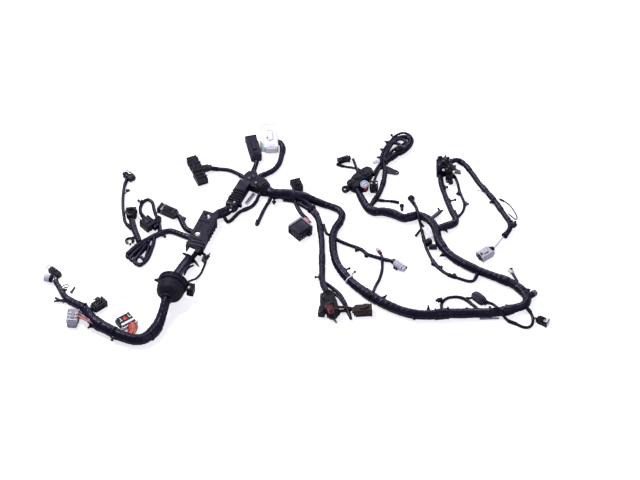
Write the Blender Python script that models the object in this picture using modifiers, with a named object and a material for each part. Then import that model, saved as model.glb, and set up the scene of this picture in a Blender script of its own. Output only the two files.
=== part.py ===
"""Wiring harness laid flat: taped trunks, branches, connectors, a grommet, a bracket and a duct.

Metres, +Z up, resting on z = 0. +X runs to the harness's right and +Y away from the viewer.
"""

import math

import bmesh
import bpy
from mathutils import Vector

GAP = 0.0003
REST = 0.0003

DROP_D = 0.0145
ARM_D = 0.0125
LEAD_D = 0.0100
THIN_D = 0.0080

GROMMET_R = 0.036
GROMMET_BORE_R = 0.0120
GROMMET_AT = (-0.2957, -0.1860, 0.0365)
GROMMET_HEADING = -105.7

BRACKET_AT = (-0.2220, -0.0020)
BRACKET_HEADING = 68.3
BRACKET_LENGTH = 0.116
BRACKET_TOP = 0.0285
BRACKET_SKIN = 0.0028
BRACKET_HOLE_R = 0.0072

DUCT_HEADING = 65.5
DUCT_LENGTH = 0.076
DUCT_WIDTH = 0.027
DUCT_HEIGHT = 0.0265
DUCT_SKIN = 0.0025

MAIN_TRUNK = [
    (-0.0754, 0.1404, 0.0145, 0.0225),
    (-0.0645, 0.1304, 0.0145, 0.0230),
    (-0.0560, 0.1268, 0.0140, 0.0240),
    (-0.0420, 0.1262, 0.0134, 0.0245),
    (-0.0220, 0.1255, 0.0130, 0.0245),
    (-0.0010, 0.1220, 0.0130, 0.0245),
    (0.0180, 0.1160, 0.0130, 0.0240),
    (0.0400, 0.1080, 0.0110, 0.0190),
    (0.0650, 0.0970, 0.0090, 0.0165),
    (0.0860, 0.0880, 0.0090, 0.0165),
    (0.1010, 0.0790, 0.0090, 0.0170),
    (0.1080, 0.0630, 0.0092, 0.0172),
    (0.1030, 0.0400, 0.0095, 0.0175),
    (0.0920, 0.0190, 0.0097, 0.0180),
    (0.0860, -0.0030, 0.0100, 0.0185),
    (0.0860, -0.0310, 0.0100, 0.0190),
    (0.0890, -0.0640, 0.0100, 0.0190),
    (0.0970, -0.0970, 0.0105, 0.0195),
    (0.1130, -0.1290, 0.0110, 0.0205),
    (0.1350, -0.1590, 0.0113, 0.0215),
    (0.1610, -0.1850, 0.0118, 0.0225),
    (0.1900, -0.2090, 0.0120, 0.0230),
    (0.2210, -0.2300, 0.0120, 0.0230),
    (0.2530, -0.2460, 0.0120, 0.0230),
    (0.2830, -0.2540, 0.0120, 0.0230),
    (0.3140, -0.2560, 0.0120, 0.0230),
    (0.3500, -0.2530, 0.0120, 0.0230),
    (0.4150, -0.2510, 0.0120, 0.0230),
    (0.4560, -0.2500, 0.0118, 0.0225),
    (0.4940, -0.2440, 0.0116, 0.0220),
    (0.5080, -0.2385, 0.0114, 0.0216),
    (0.5220, -0.2330, 0.0113, 0.0213),
]
RETURN_TRUNK = [
    (0.5172, -0.2349, 0.0114, 0.0208),
    (0.5345, -0.2281, 0.0112, 0.0209),
    (0.5430, -0.2190, 0.0112, 0.0210),
    (0.5465, -0.2055, 0.0112, 0.0210),
    (0.5420, -0.1900, 0.0112, 0.0210),
    (0.5310, -0.1750, 0.0112, 0.0210),
    (0.5160, -0.1610, 0.0112, 0.0210),
    (0.4940, -0.1470, 0.0112, 0.0210),
    (0.4650, -0.1330, 0.0110, 0.0205),
    (0.4350, -0.1180, 0.0110, 0.0205),
    (0.4150, -0.1060, 0.0110, 0.0205),
    (0.3860, -0.0860, 0.0110, 0.0205),
    (0.3620, -0.0620, 0.0110, 0.0205),
    (0.3480, -0.0380, 0.0108, 0.0200),
    (0.3390, -0.0180, 0.0108, 0.0200),
    (0.3350, 0.0020, 0.0108, 0.0200),
    (0.3320, 0.0210, 0.0108, 0.0200),
    (0.3240, 0.0380, 0.0106, 0.0195),
    (0.3100, 0.0520, 0.0106, 0.0195),
    (0.2910, 0.0600, 0.0106, 0.0195),
    (0.2720, 0.0550, 0.0106, 0.0200),
    (0.2550, 0.0520, 0.0110, 0.0205),
    (0.2310, 0.0650, 0.0110, 0.0205),
    (0.2080, 0.0720, 0.0110, 0.0205),
    (0.1850, 0.0730, 0.0108, 0.0200),
    (0.1690, 0.0850, 0.0106, 0.0195),
    (0.1590, 0.1060, 0.0104, 0.0180),
    (0.1510, 0.1260, 0.0110, 0.0165),
    (0.1440, 0.1480, 0.0120, 0.0160),
]
NECK_AND_TAIL_TRUNK = [
    (-0.1226, 0.1650, 0.0128, 0.0190),
    (-0.1390, 0.1290, 0.0125, 0.0190),
    (-0.1530, 0.0985, 0.0125, 0.0190),
    (-0.1610, 0.0830, 0.0125, 0.0195),
    (-0.1720, 0.0710, 0.0125, 0.0215),
    (-0.1870, 0.0630, 0.0125, 0.0215),
    (-0.1990, 0.0530, 0.0125, 0.0200),
    (-0.2080, 0.0340, 0.0120, 0.0200),
    (-0.2230, -0.0015, 0.0120, 0.0200),
    (-0.2360, -0.0340, 0.0120, 0.0200),
    (-0.2450, -0.0570, 0.0120, 0.0205),
    (-0.2545, -0.0760, 0.0130, 0.0215),
    (-0.2660, -0.0980, 0.0160, 0.0218),
    (-0.2755, -0.1210, 0.0230, 0.0216),
    (-0.2835, -0.1430, 0.0310, 0.0215),
    (-0.2882, -0.1590, 0.0358, 0.0214),
    (-0.2914, -0.1706, 0.0365, 0.0214),
    (-0.2957, -0.1860, 0.0365, 0.0214),
    (-0.3052, -0.2198, 0.0365, 0.0214),
    (-0.3079, -0.2294, 0.0365, 0.0214),
    (-0.3105, -0.2390, 0.0352, 0.0215),
    (-0.3140, -0.2530, 0.0290, 0.0222),
    (-0.3200, -0.2720, 0.0200, 0.0236),
    (-0.3265, -0.2900, 0.0152, 0.0254),
    (-0.3345, -0.3070, 0.0140, 0.0262),
    (-0.3470, -0.3225, 0.0140, 0.0264),
    (-0.3660, -0.3340, 0.0140, 0.0264),
    (-0.3890, -0.3330, 0.0140, 0.0264),
    (-0.4160, -0.3220, 0.0143, 0.0268),
    (-0.4440, -0.3040, 0.0145, 0.0274),
    (-0.4690, -0.2870, 0.0145, 0.0276),
    (-0.4870, -0.2670, 0.0142, 0.0270),
    (-0.4980, -0.2470, 0.0130, 0.0248),
    (-0.5110, -0.2300, 0.0115, 0.0220),
    (-0.5290, -0.2160, 0.0098, 0.0185),
    (-0.5460, -0.2010, 0.0082, 0.0152),
    (-0.5580, -0.1820, 0.0072, 0.0132),
    (-0.5670, -0.1620, 0.0068, 0.0122),
    (-0.5750, -0.1450, 0.0066, 0.0118),
]
DROP_TRUNK = [
    (0.0150, 0.1110, 0.0105),
    (0.0240, 0.0970, 0.0085),
    (0.0320, 0.0860, 0.0078),
    (0.0400, 0.0750, 0.0078),
    (0.0480, 0.0590, 0.0078),
    (0.0530, 0.0400, 0.0078),
    (0.0560, 0.0150, 0.0078),
    (0.0590, -0.0220, 0.0078),
    (0.0600, -0.0700, 0.0078),
    (0.0600, -0.1200, 0.0078),
    (0.0620, -0.1560, 0.0095),
    (0.0690, -0.1800, 0.0125),
    (0.0755, -0.2010, 0.0130),
]
DROP_RIGHT_CABLE = [
    (0.0640, -0.1520, 0.0090),
    (0.0740, -0.1580, 0.0065),
    (0.0860, -0.1680, 0.0052),
    (0.1010, -0.1850, 0.0052),
    (0.1120, -0.2070, 0.0052),
    (0.1190, -0.2290, 0.0052),
    (0.1250, -0.2490, 0.0050),
]
BIG_CONNECTOR_CABLE = [
    (-0.0070, 0.1150, 0.0110),
    (-0.0030, 0.1010, 0.0075),
    (0.0050, 0.0810, 0.0056),
    (0.0140, 0.0650, 0.0058),
    (0.0240, 0.0500, 0.0085),
    (0.0255, 0.0370, 0.0110),
    (0.0215, 0.0280, 0.0110),
]
HUB_LEFT_CABLE = [
    (-0.1240, 0.1770, 0.0135),
    (-0.1360, 0.1870, 0.0120),
    (-0.1480, 0.2010, 0.0070),
    (-0.1680, 0.2120, 0.0056),
    (-0.1930, 0.2150, 0.0056),
    (-0.2120, 0.2150, 0.0085),
]
HUB_TOP_CABLE = [
    (-0.1125, 0.1830, 0.0130),
    (-0.1080, 0.1940, 0.0110),
    (-0.1060, 0.2080, 0.0070),
    (-0.1020, 0.2240, 0.0075),
    (-0.0985, 0.2380, 0.0100),
    (-0.1010, 0.2540, 0.0105),
]
HUB_RIGHT_CABLE = [
    (-0.0965, 0.1750, 0.0130),
    (-0.0870, 0.1880, 0.0105),
    (-0.0730, 0.1990, 0.0070),
    (-0.0560, 0.2120, 0.0067),
    (-0.0440, 0.2330, 0.0067),
    (-0.0385, 0.2580, 0.0067),
    (-0.0355, 0.2760, 0.0075),
    (-0.0370, 0.2900, 0.0090),
    (-0.0420, 0.2985, 0.0095),
    (-0.0520, 0.3010, 0.0095),
]
HUB_DROP_CABLE = [
    (-0.0850, 0.1355, 0.0130),
    (-0.0935, 0.1235, 0.0085),
    (-0.0990, 0.1100, 0.0055),
    (-0.1090, 0.0950, 0.0050),
    (-0.1220, 0.0860, 0.0050),
    (-0.1370, 0.0770, 0.0050),
    (-0.1480, 0.0640, 0.0050),
    (-0.1580, 0.0500, 0.0050),
    (-0.1680, 0.0440, 0.0060),
    (-0.1780, 0.0600, 0.0120),
]
HUB_STUB_CABLE = [
    (-0.0620, 0.1230, 0.0110),
    (-0.0690, 0.1070, 0.0060),
    (-0.0760, 0.0930, 0.0050),
    (-0.0860, 0.0660, 0.0050),
    (-0.0950, 0.0380, 0.0050),
]
MIDDLE_CABLE = [
    (0.0890, -0.0130, 0.0095),
    (0.1050, -0.0210, 0.0070),
    (0.1230, -0.0290, 0.0050),
    (0.1530, -0.0440, 0.0050),
    (0.1680, -0.0590, 0.0050),
    (0.1850, -0.0670, 0.0050),
    (0.2080, -0.0760, 0.0055),
    (0.2290, -0.0855, 0.0085),
    (0.2390, -0.0945, 0.0095),
]
MIDDLE_LINK_CABLE = [
    (0.2040, -0.0760, 0.0060),
    (0.2040, -0.0930, 0.0045),
    (0.2030, -0.1110, 0.0042),
    (0.1970, -0.1370, 0.0042),
    (0.1870, -0.1620, 0.0055),
    (0.1800, -0.1900, 0.0110),
]
ARC_CABLE = [
    (0.2765, 0.1080, 0.0085),
    (0.2810, 0.0950, 0.0150),
    (0.2860, 0.0760, 0.0230),
    (0.2895, 0.0600, 0.0250),
    (0.2930, 0.0440, 0.0210),
    (0.2980, 0.0250, 0.0110),
    (0.3015, 0.0060, 0.0050),
    (0.3050, -0.0160, 0.0046),
    (0.3100, -0.0400, 0.0046),
    (0.3180, -0.0640, 0.0046),
    (0.3280, -0.0860, 0.0046),
    (0.3410, -0.1060, 0.0046),
    (0.3600, -0.1230, 0.0046),
    (0.3850, -0.1350, 0.0046),
    (0.4070, -0.1440, 0.0046),
    (0.4190, -0.1440, 0.0050),
    (0.4255, -0.1370, 0.0070),
    (0.4310, -0.1230, 0.0100),
]
PAD_CABLE = [
    (0.3440, -0.2480, 0.0115),
    (0.3430, -0.2280, 0.0070),
    (0.3450, -0.2120, 0.0045),
    (0.3560, -0.1990, 0.0044),
    (0.3730, -0.1940, 0.0044),
    (0.3900, -0.1960, 0.0044),
    (0.4030, -0.2040, 0.0044),
    (0.4140, -0.2160, 0.0048),
    (0.4240, -0.2280, 0.0080),
    (0.4310, -0.2450, 0.0115),
]
PAD_TAIL_CABLE = [
    (0.4440, -0.2080, 0.0070),
    (0.4530, -0.2190, 0.0130),
    (0.4630, -0.2320, 0.0235),
    (0.4730, -0.2450, 0.0270),
    (0.4820, -0.2560, 0.0250),
    (0.4920, -0.2650, 0.0130),
    (0.5020, -0.2700, 0.0050),
    (0.5160, -0.2760, 0.0042),
    (0.5340, -0.2870, 0.0042),
    (0.5480, -0.2880, 0.0042),
    (0.5570, -0.2780, 0.0042),
    (0.5585, -0.2620, 0.0060),
    (0.5540, -0.2470, 0.0085),
    (0.5440, -0.2310, 0.0110),
]
MAST_CABLE = [
    (0.3350, 0.0160, 0.0105, 0.0172),
    (0.3550, 0.0255, 0.0098, 0.0176),
    (0.3680, 0.0310, 0.0098, 0.0178),
    (0.3800, 0.0390, 0.0095, 0.0165),
    (0.3800, 0.0550, 0.0080, 0.0140),
    (0.3730, 0.0750, 0.0074, 0.0130),
    (0.3650, 0.1010, 0.0070, 0.0126),
    (0.3580, 0.1260, 0.0070, 0.0126),
    (0.3520, 0.1500, 0.0070, 0.0126),
    (0.3480, 0.1740, 0.0088, 0.0128),
    (0.3475, 0.1980, 0.0095, 0.0128),
]
MAST_INNER_CABLE = [
    (0.3720, 0.1980, 0.0120),
    (0.3830, 0.1840, 0.0080),
    (0.3890, 0.1680, 0.0045),
    (0.3925, 0.1450, 0.0040),
    (0.3975, 0.1270, 0.0040),
    (0.4035, 0.1050, 0.0040),
    (0.4020, 0.0860, 0.0040),
    (0.3950, 0.0700, 0.0045),
    (0.3800, 0.0500, 0.0080),
]
ARM_CABLE = [
    (0.3690, 0.2230, 0.0110),
    (0.3760, 0.2350, 0.0110),
    (0.3870, 0.2400, 0.0100),
    (0.3980, 0.2370, 0.0072),
    (0.4095, 0.2250, 0.0069),
    (0.4195, 0.2080, 0.0069),
    (0.4300, 0.1880, 0.0069),
    (0.4400, 0.1680, 0.0069),
    (0.4520, 0.1500, 0.0069),
    (0.4640, 0.1310, 0.0069),
    (0.4770, 0.1100, 0.0069),
    (0.4890, 0.0860, 0.0069),
    (0.5010, 0.0620, 0.0069),
    (0.5110, 0.0420, 0.0069),
    (0.5120, 0.0240, 0.0069),
    (0.5060, 0.0100, 0.0069),
    (0.4990, -0.0010, 0.0069),
]
UPPER_LEFT_CABLE = [
    (-0.2960, 0.0660, 0.0090),
    (-0.2820, 0.0560, 0.0075),
    (-0.2750, 0.0370, 0.0066),
    (-0.2660, 0.0200, 0.0066),
    (-0.2510, 0.0090, 0.0070),
    (-0.2270, 0.0000, 0.0110),
]
LOWER_LEFT_CABLE = [
    (-0.2320, -0.0190, 0.0110),
    (-0.2490, -0.0117, 0.0085),
    (-0.2620, -0.0060, 0.0066),
    (-0.2770, 0.0015, 0.0064),
    (-0.2920, 0.0090, 0.0064),
    (-0.3060, 0.0130, 0.0064),
    (-0.3210, 0.0090, 0.0064),
    (-0.3380, -0.0010, 0.0064),
    (-0.3540, -0.0110, 0.0064),
    (-0.3740, -0.0260, 0.0064),
    (-0.3910, -0.0450, 0.0064),
    (-0.4050, -0.0620, 0.0064),
]
FOLDED_CABLE = [
    (-0.3425, -0.0070, 0.0064),
    (-0.3440, -0.0250, 0.0056),
    (-0.3470, -0.0400, 0.0055),
    (-0.3520, -0.0600, 0.0055),
    (-0.3600, -0.0800, 0.0055),
    (-0.3720, -0.0920, 0.0055),
    (-0.3850, -0.0890, 0.0055),
    (-0.3880, -0.0760, 0.0055),
    (-0.3790, -0.0630, 0.0055),
    (-0.3680, -0.0480, 0.0055),
    (-0.3600, -0.0350, 0.0057),
    (-0.3540, -0.0150, 0.0062),
]
RING_CABLE = [
    (-0.3640, 0.0480, 0.0090),
    (-0.3720, 0.0620, 0.0070),
    (-0.3770, 0.0740, 0.0055),
    (-0.3780, 0.0910, 0.0046),
    (-0.3720, 0.1080, 0.0046),
    (-0.3600, 0.1160, 0.0046),
    (-0.3500, 0.1080, 0.0046),
    (-0.3460, 0.0900, 0.0046),
    (-0.3410, 0.0680, 0.0046),
    (-0.3325, 0.0440, 0.0046),
    (-0.3290, 0.0110, 0.0068),
]
TALL_CABLE = [
    (-0.4120, 0.1820, 0.0070),
    (-0.4175, 0.1640, 0.0052),
    (-0.4200, 0.1450, 0.0046),
    (-0.4210, 0.1180, 0.0046),
    (-0.4200, 0.0890, 0.0046),
    (-0.4170, 0.0620, 0.0046),
    (-0.4130, 0.0420, 0.0046),
    (-0.3980, 0.0200, 0.0075),
]
WRAPPED_BUNDLE = [
    (-0.3990, 0.0580, 0.0083),
    (-0.3960, 0.0400, 0.0083),
    (-0.3910, 0.0180, 0.0083),
    (-0.3820, -0.0080, 0.0083),
    (-0.3780, -0.0240, 0.0083),
]
NECK_LOOP_CABLE = [
    (-0.2270, -0.0560, 0.0070),
    (-0.2190, -0.0650, 0.0050),
    (-0.2180, -0.0800, 0.0036),
    (-0.2220, -0.0980, 0.0036),
    (-0.2290, -0.1190, 0.0036),
    (-0.2400, -0.1370, 0.0060),
    (-0.2520, -0.1500, 0.0130),
    (-0.2610, -0.1640, 0.0215),
    (-0.2660, -0.1780, 0.0262),
    (-0.2675, -0.1850, 0.0270),
]
MODULE_LOOP_CABLE = [
    (0.1730, 0.0830, 0.0105, 0.0115),
    (0.1860, 0.1100, 0.0068, 0.0120),
    (0.1970, 0.1310, 0.0068, 0.0120),
    (0.2045, 0.1530, 0.0068, 0.0120),
    (0.2100, 0.1780, 0.0068, 0.0120),
    (0.2130, 0.2080, 0.0068, 0.0122),
    (0.2110, 0.2300, 0.0068, 0.0124),
    (0.2120, 0.2560, 0.0066, 0.0118),
    (0.2190, 0.2790, 0.0060, 0.0105),
    (0.2290, 0.3000, 0.0056, 0.0098),
    (0.2420, 0.3150, 0.0054, 0.0094),
    (0.2580, 0.3220, 0.0054, 0.0094),
    (0.2720, 0.3170, 0.0054, 0.0094),
    (0.2750, 0.3040, 0.0054, 0.0094),
    (0.2700, 0.2900, 0.0056, 0.0094),
]
MODULE_BRANCH_CABLE = [
    (0.2130, 0.2340, 0.0083),
    (0.2290, 0.2500, 0.0083),
    (0.2440, 0.2640, 0.0083),
    (0.2590, 0.2740, 0.0083),
    (0.2690, 0.2890, 0.0080),
]
MODULE_LEFT_CABLE = [
    (0.1560, 0.1990, 0.0120),
    (0.1480, 0.2120, 0.0085),
    (0.1340, 0.2210, 0.0042),
    (0.1200, 0.2240, 0.0037),
    (0.1060, 0.2280, 0.0037),
    (0.0960, 0.2330, 0.0045),
]
SIDE_CABLE = [
    (0.1900, 0.1140, 0.0065),
    (0.2080, 0.1130, 0.0045),
    (0.2310, 0.1110, 0.0040),
    (0.2460, 0.1070, 0.0040),
]


def clear_scene():
    for item in list(bpy.data.objects):
        bpy.data.objects.remove(item)
    for group in list(bpy.data.collections):
        bpy.data.collections.remove(group)


def collection(name):
    group = bpy.data.collections.new(name)
    bpy.context.scene.collection.children.link(group)
    return group


def finish_of(name, colour, roughness, metallic=0.0):
    look = bpy.data.materials.new(name)
    look.use_nodes = True
    shader = look.node_tree.nodes["Principled BSDF"]
    shader.inputs["Base Color"].default_value = (*colour, 1.0)
    shader.inputs["Roughness"].default_value = roughness
    shader.inputs["Metallic"].default_value = metallic
    look.diffuse_color = (*colour, 1.0)
    return look


def paint(part, colour, roughness, metallic=0.0):
    part.data.materials.clear()
    part.data.materials.append(finish_of(part.name + "_finish", colour, roughness, metallic))
    return part


TAPE = ((0.013, 0.012, 0.020), 0.55)
SMOOTH_TUBE = ((0.014, 0.012, 0.021), 0.42)
BLACK_PLASTIC = ((0.016, 0.015, 0.020), 0.48)
CHARCOAL = ((0.040, 0.038, 0.055), 0.55)
GREY = ((0.300, 0.295, 0.320), 0.50)
PALE = ((0.800, 0.800, 0.830), 0.45)
BROWN = ((0.035, 0.024, 0.020), 0.50)
OLIVE = ((0.060, 0.064, 0.058), 0.52)
RUBBER = ((0.020, 0.019, 0.027), 0.70)


def heading_vector(degrees):
    return Vector((math.cos(math.radians(degrees)), math.sin(math.radians(degrees)), 0.0))


def spline_point(a, b, c, d, t):
    """The point at t between b and c of a smooth curve through a, b, c and d."""
    return [
        0.5 * (2 * q + (r - p) * t + (2 * p - 5 * q + 4 * r - s) * t * t + (3 * q - p - 3 * r + s) * t ** 3)
        for p, q, r, s in zip(a, b, c, d)
    ]


def smooth_route(route, spacing):
    """Evenly spaced points along a smooth curve through the route's points."""
    ends = [
        [2 * p - q for p, q in zip(route[0], route[1])],
        [2 * p - q for p, q in zip(route[-1], route[-2])],
    ]
    padded = [ends[0], *route, ends[1]]
    fine = []
    for i in range(len(route) - 1):
        for k in range(12):
            fine.append(spline_point(*padded[i:i + 4], k / 12))
    fine.append(list(route[-1]))
    run = [0.0]
    for p, q in zip(fine, fine[1:]):
        run.append(run[-1] + math.dist(p[:3], q[:3]))
    count = max(3, round(run[-1] / spacing) + 1)
    stops = [run[-1] * i / (count - 1) for i in range(count)]
    stops[1:1] = [0.16 * route[0][3]]
    stops[-1:-1] = [run[-1] - 0.16 * route[-1][3]]
    points = []
    at = 0
    for want in stops:
        while at < len(run) - 2 and run[at + 1] < want:
            at += 1
        part = (want - run[at]) / max(run[at + 1] - run[at], 1e-9)
        points.append([p + (q - p) * part for p, q in zip(fine[at], fine[at + 1])])
    return points


def meshed(part):
    """Turns a curve object into a mesh of the same name, its caps welded."""
    name = part.name
    graph = bpy.context.evaluated_depsgraph_get()
    shape = bmesh.new()
    shape.from_mesh(bpy.data.meshes.new_from_object(part.evaluated_get(graph)))
    bmesh.ops.remove_doubles(shape, verts=shape.verts, dist=0.000001)
    group = part.users_collection[0]
    place_of_curve = part.matrix_world.copy()
    bpy.data.objects.remove(part)
    part = from_bmesh(name, shape, group)
    part.matrix_world = place_of_curve
    return part


def grown(name):
    """A copy of a finished piece, larger by the gap all round, to cut the pieces that meet it."""
    piece = harness.objects[name]
    bpy.context.view_layer.update()
    graph = bpy.context.evaluated_depsgraph_get()
    shape = bmesh.new()
    shape.from_mesh(bpy.data.meshes.new_from_object(piece.evaluated_get(graph)))
    bmesh.ops.remove_doubles(shape, verts=shape.verts, dist=0.000001)
    shape.normal_update()
    for vert in shape.verts:
        vert.co += vert.normal * GAP * min(vert.calc_shell_factor(), 1.6)
    tool = from_bmesh("grown", shape, cutters)
    tool.matrix_world = piece.matrix_world.copy()
    return tool


def trim(part, names):
    for name in names.split():
        cut(part, grown(name))


def wires(part, route, diameter, meets):
    """The wire tail that a connector carries: it reaches the bundle that it leaves."""
    tail = meshed(tube("wires", route, diameter, 1.8 * diameter, 2, cutters))
    trim(tail, meets)
    join(part, tail)
    return part


def tube(name, route, diameter, spacing, sides, group):
    """A round tube along a smooth route. A route's fourth value is its diameter."""
    full = [(*p, diameter) if len(p) == 3 else p for p in route]
    widest = max(p[3] for p in full)
    points = smooth_route(full, spacing or 2.1 * widest)
    curve = bpy.data.curves.new(name, "CURVE")
    curve.dimensions = "3D"
    curve.bevel_depth = widest / 2
    curve.bevel_resolution = sides
    curve.use_fill_caps = True
    line = curve.splines.new("POLY")
    line.points.add(len(points) - 1)
    for target, p in zip(line.points, points):
        target.co = (p[0], p[1], p[2], 1.0)
        target.radius = p[3] / widest
    line.use_smooth = True
    part = bpy.data.objects.new(name, curve)
    group.objects.link(part)
    return part


def cable(name, route, look, diameter=None, spacing=None, sides=2, meets=""):
    """A taped bundle. Its ends run into the pieces that it meets, and are cut to their shape."""
    part = tube(name, route, diameter, spacing, sides, harness)
    if meets:
        part = meshed(part)
        trim(part, meets)
    return paint(part, *look)


def from_bmesh(name, shape, group):
    mesh = bpy.data.meshes.new(name)
    shape.to_mesh(mesh)
    shape.free()
    part = bpy.data.objects.new(name, mesh)
    group.objects.link(part)
    return part


def block(name, size, centre, bevel=0.0, group=None):
    """A box, with its edges rounded where a bevel is given."""
    shape = bmesh.new()
    bmesh.ops.create_cube(shape, size=1.0)
    bmesh.ops.scale(shape, vec=size, verts=shape.verts)
    if bevel:
        bmesh.ops.bevel(shape, geom=shape.edges[:], offset=bevel, segments=1, affect="EDGES", profile=0.5)
    bmesh.ops.translate(shape, vec=centre, verts=shape.verts)
    return from_bmesh(name, shape, group or cutters)


def rod(name, start, end, radius, sides=16, end_radius=None, group=None):
    """A cylinder or cone between two points."""
    start, end = Vector(start), Vector(end)
    span = end - start
    shape = bmesh.new()
    far = radius if end_radius is None else end_radius
    bmesh.ops.create_cone(
        shape, cap_ends=True, segments=sides, radius1=radius, radius2=far, depth=span.length
    )
    turn = Vector((0.0, 0.0, 1.0)).rotation_difference(span).to_matrix()
    bmesh.ops.rotate(shape, cent=(0.0, 0.0, 0.0), matrix=turn, verts=shape.verts)
    bmesh.ops.translate(shape, vec=(start + end) / 2, verts=shape.verts)
    return from_bmesh(name, shape, group or cutters)


def settle(part):
    """Bakes the part's modifiers into its mesh."""
    graph = bpy.context.evaluated_depsgraph_get()
    part.data = bpy.data.meshes.new_from_object(part.evaluated_get(graph))
    part.modifiers.clear()


def combine(part, tool, operation):
    step = part.modifiers.new(operation.lower(), "BOOLEAN")
    step.operation = operation
    step.solver = "EXACT"
    step.object = tool
    settle(part)
    bpy.data.objects.remove(tool)


def join(part, *tools):
    for tool in tools:
        combine(part, tool, "UNION")


def cut(part, *tools):
    for tool in tools:
        combine(part, tool, "DIFFERENCE")


def place(part, at, heading, tilt=0.0):
    part.location = (at[0], at[1], at[2] if len(at) > 2 else REST)
    part.rotation_euler = (0.0, tilt, math.radians(heading))
    return part


def soften(part, angle=32.0):
    part.data.shade_smooth()
    part.data.set_sharp_from_angle(angle=math.radians(angle))


def housing(name, size, at, heading, look, socket=0.0034, tongue=0.5, latch=True, ribs=2, collar=0.8, lift=0.0):
    """A moulded connector, its mouth at the heading end: shell, socket, tongue, latch arm, ribs and collar."""
    length, width, height = size
    wall = 0.0016
    mid = height / 2
    part = block(name, size, (0.0, 0.0, mid), bevel=0.0012, group=harness)
    mouth = length / 2
    cut(part, block("socket", (socket + 0.002, width - 2 * wall, height - 2 * wall),
                    (mouth - socket / 2 + 0.001, 0.0, mid)))
    if tongue:
        reach = socket - 0.0008
        join(part, block("tongue", (reach + 0.001, (width - 2 * wall) * tongue, (height - 2 * wall) * 0.32),
                         (mouth - socket + reach / 2 - 0.0005, 0.0, mid)))
    if collar:
        join(part, block("collar", (0.0050, width * collar, height * 0.74), (-mouth - 0.0015, 0.0, mid), 0.0008))
    if latch:
        arm = length * 0.42
        join(part, block("foot", (0.0040, width * 0.30, 0.0034), (-arm / 2 + 0.002, 0.0, height + 0.0012)))
        join(part, block("arm", (arm, width * 0.30, 0.0016), (0.0, 0.0, height + 0.0024)))
    for i in range(ribs):
        along = length * (i + 1) / (ribs + 1) - mouth
        join(part, block("rib", (0.0016, width + 0.0016, height * 0.6), (along, 0.0, mid)))
    place(part, (at[0], at[1], REST + lift), heading)
    return paint(part, *look)


def turned(name, profile, steps, at, heading, look):
    """A turned piece whose axis lies level along the heading. The profile holds radius and distance along it."""
    mesh = bpy.data.meshes.new(name)
    points = [(r, 0.0, z) for r, z in profile]
    edges = [(i, (i + 1) % len(points)) for i in range(len(points))]
    mesh.from_pydata(points, edges, [])
    part = bpy.data.objects.new(name, mesh)
    harness.objects.link(part)
    turn = part.modifiers.new("turn", "SCREW")
    turn.steps = steps
    turn.render_steps = steps
    turn.use_merge_vertices = True
    turn.merge_threshold = 0.00001
    turn.use_smooth_shade = True
    part.location = at
    part.rotation_euler = (0.0, math.radians(90.0), math.radians(heading))
    return paint(part, *look)


def outline(name, points, thickness, look, bevel=0.0):
    """A flat moulded plate cut to an outline."""
    curve = bpy.data.curves.new(name, "CURVE")
    curve.dimensions = "2D"
    curve.fill_mode = "BOTH"
    curve.extrude = thickness / 2
    curve.bevel_depth = bevel
    curve.bevel_resolution = 0
    line = curve.splines.new("POLY")
    line.points.add(len(points) - 1)
    for target, p in zip(line.points, points):
        target.co = (p[0], p[1], 0.0, 1.0)
    line.use_cyclic_u = True
    shaper = bpy.data.objects.new(name + "_shape", curve)
    cutters.objects.link(shaper)
    graph = bpy.context.evaluated_depsgraph_get()
    mesh = bpy.data.meshes.new_from_object(shaper.evaluated_get(graph))
    shape = bmesh.new()
    shape.from_mesh(mesh)
    bmesh.ops.remove_doubles(shape, verts=shape.verts, dist=0.00001)
    bmesh.ops.recalc_face_normals(shape, faces=shape.faces)
    shape.to_mesh(mesh)
    shape.free()
    bpy.data.objects.remove(shaper)
    part = bpy.data.objects.new(name, mesh)
    harness.objects.link(part)
    return paint(part, *look)


def make_trunks():
    cable("main_trunk", MAIN_TRUNK, TAPE, spacing=0.027, sides=3, meets="hub")
    cable("return_trunk", RETURN_TRUNK, TAPE, spacing=0.030, sides=3, meets="main_trunk module_housing round_connector")
    cable("neck_and_tail_trunk", NECK_AND_TAIL_TRUNK, TAPE, spacing=0.024, sides=3, meets="hub")
    cable("drop_trunk", DROP_TRUNK, TAPE, DROP_D, meets="main_trunk drop_connector")


def make_middle_cables():
    cable("drop_right_cable", DROP_RIGHT_CABLE, TAPE, 0.0090, meets="drop_trunk")
    cable("big_connector_cable", BIG_CONNECTOR_CABLE, TAPE, LEAD_D, spacing=0.016, meets="main_trunk big_connector")
    cable("middle_cable", MIDDLE_CABLE, TAPE, 0.0090, meets="main_trunk silver_connector")
    cable("middle_link_cable", MIDDLE_LINK_CABLE, TAPE, 0.0075, meets="main_trunk middle_cable")


def make_hub_cables():
    cable("hub_left_cable", HUB_LEFT_CABLE, SMOOTH_TUBE, 0.0102, meets="hub bar_connector")
    cable("hub_top_cable", HUB_TOP_CABLE, TAPE, 0.0102, spacing=0.014, meets="hub top_connector")
    cable("hub_right_cable", HUB_RIGHT_CABLE, TAPE, 0.0118, spacing=0.017, meets="hub pale_connector")
    cable("hub_drop_cable", HUB_DROP_CABLE, TAPE, 0.0090, spacing=0.014, meets="hub neck_and_tail_trunk")
    cable("hub_stub_cable", HUB_STUB_CABLE, TAPE, 0.0090, meets="main_trunk")


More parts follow.
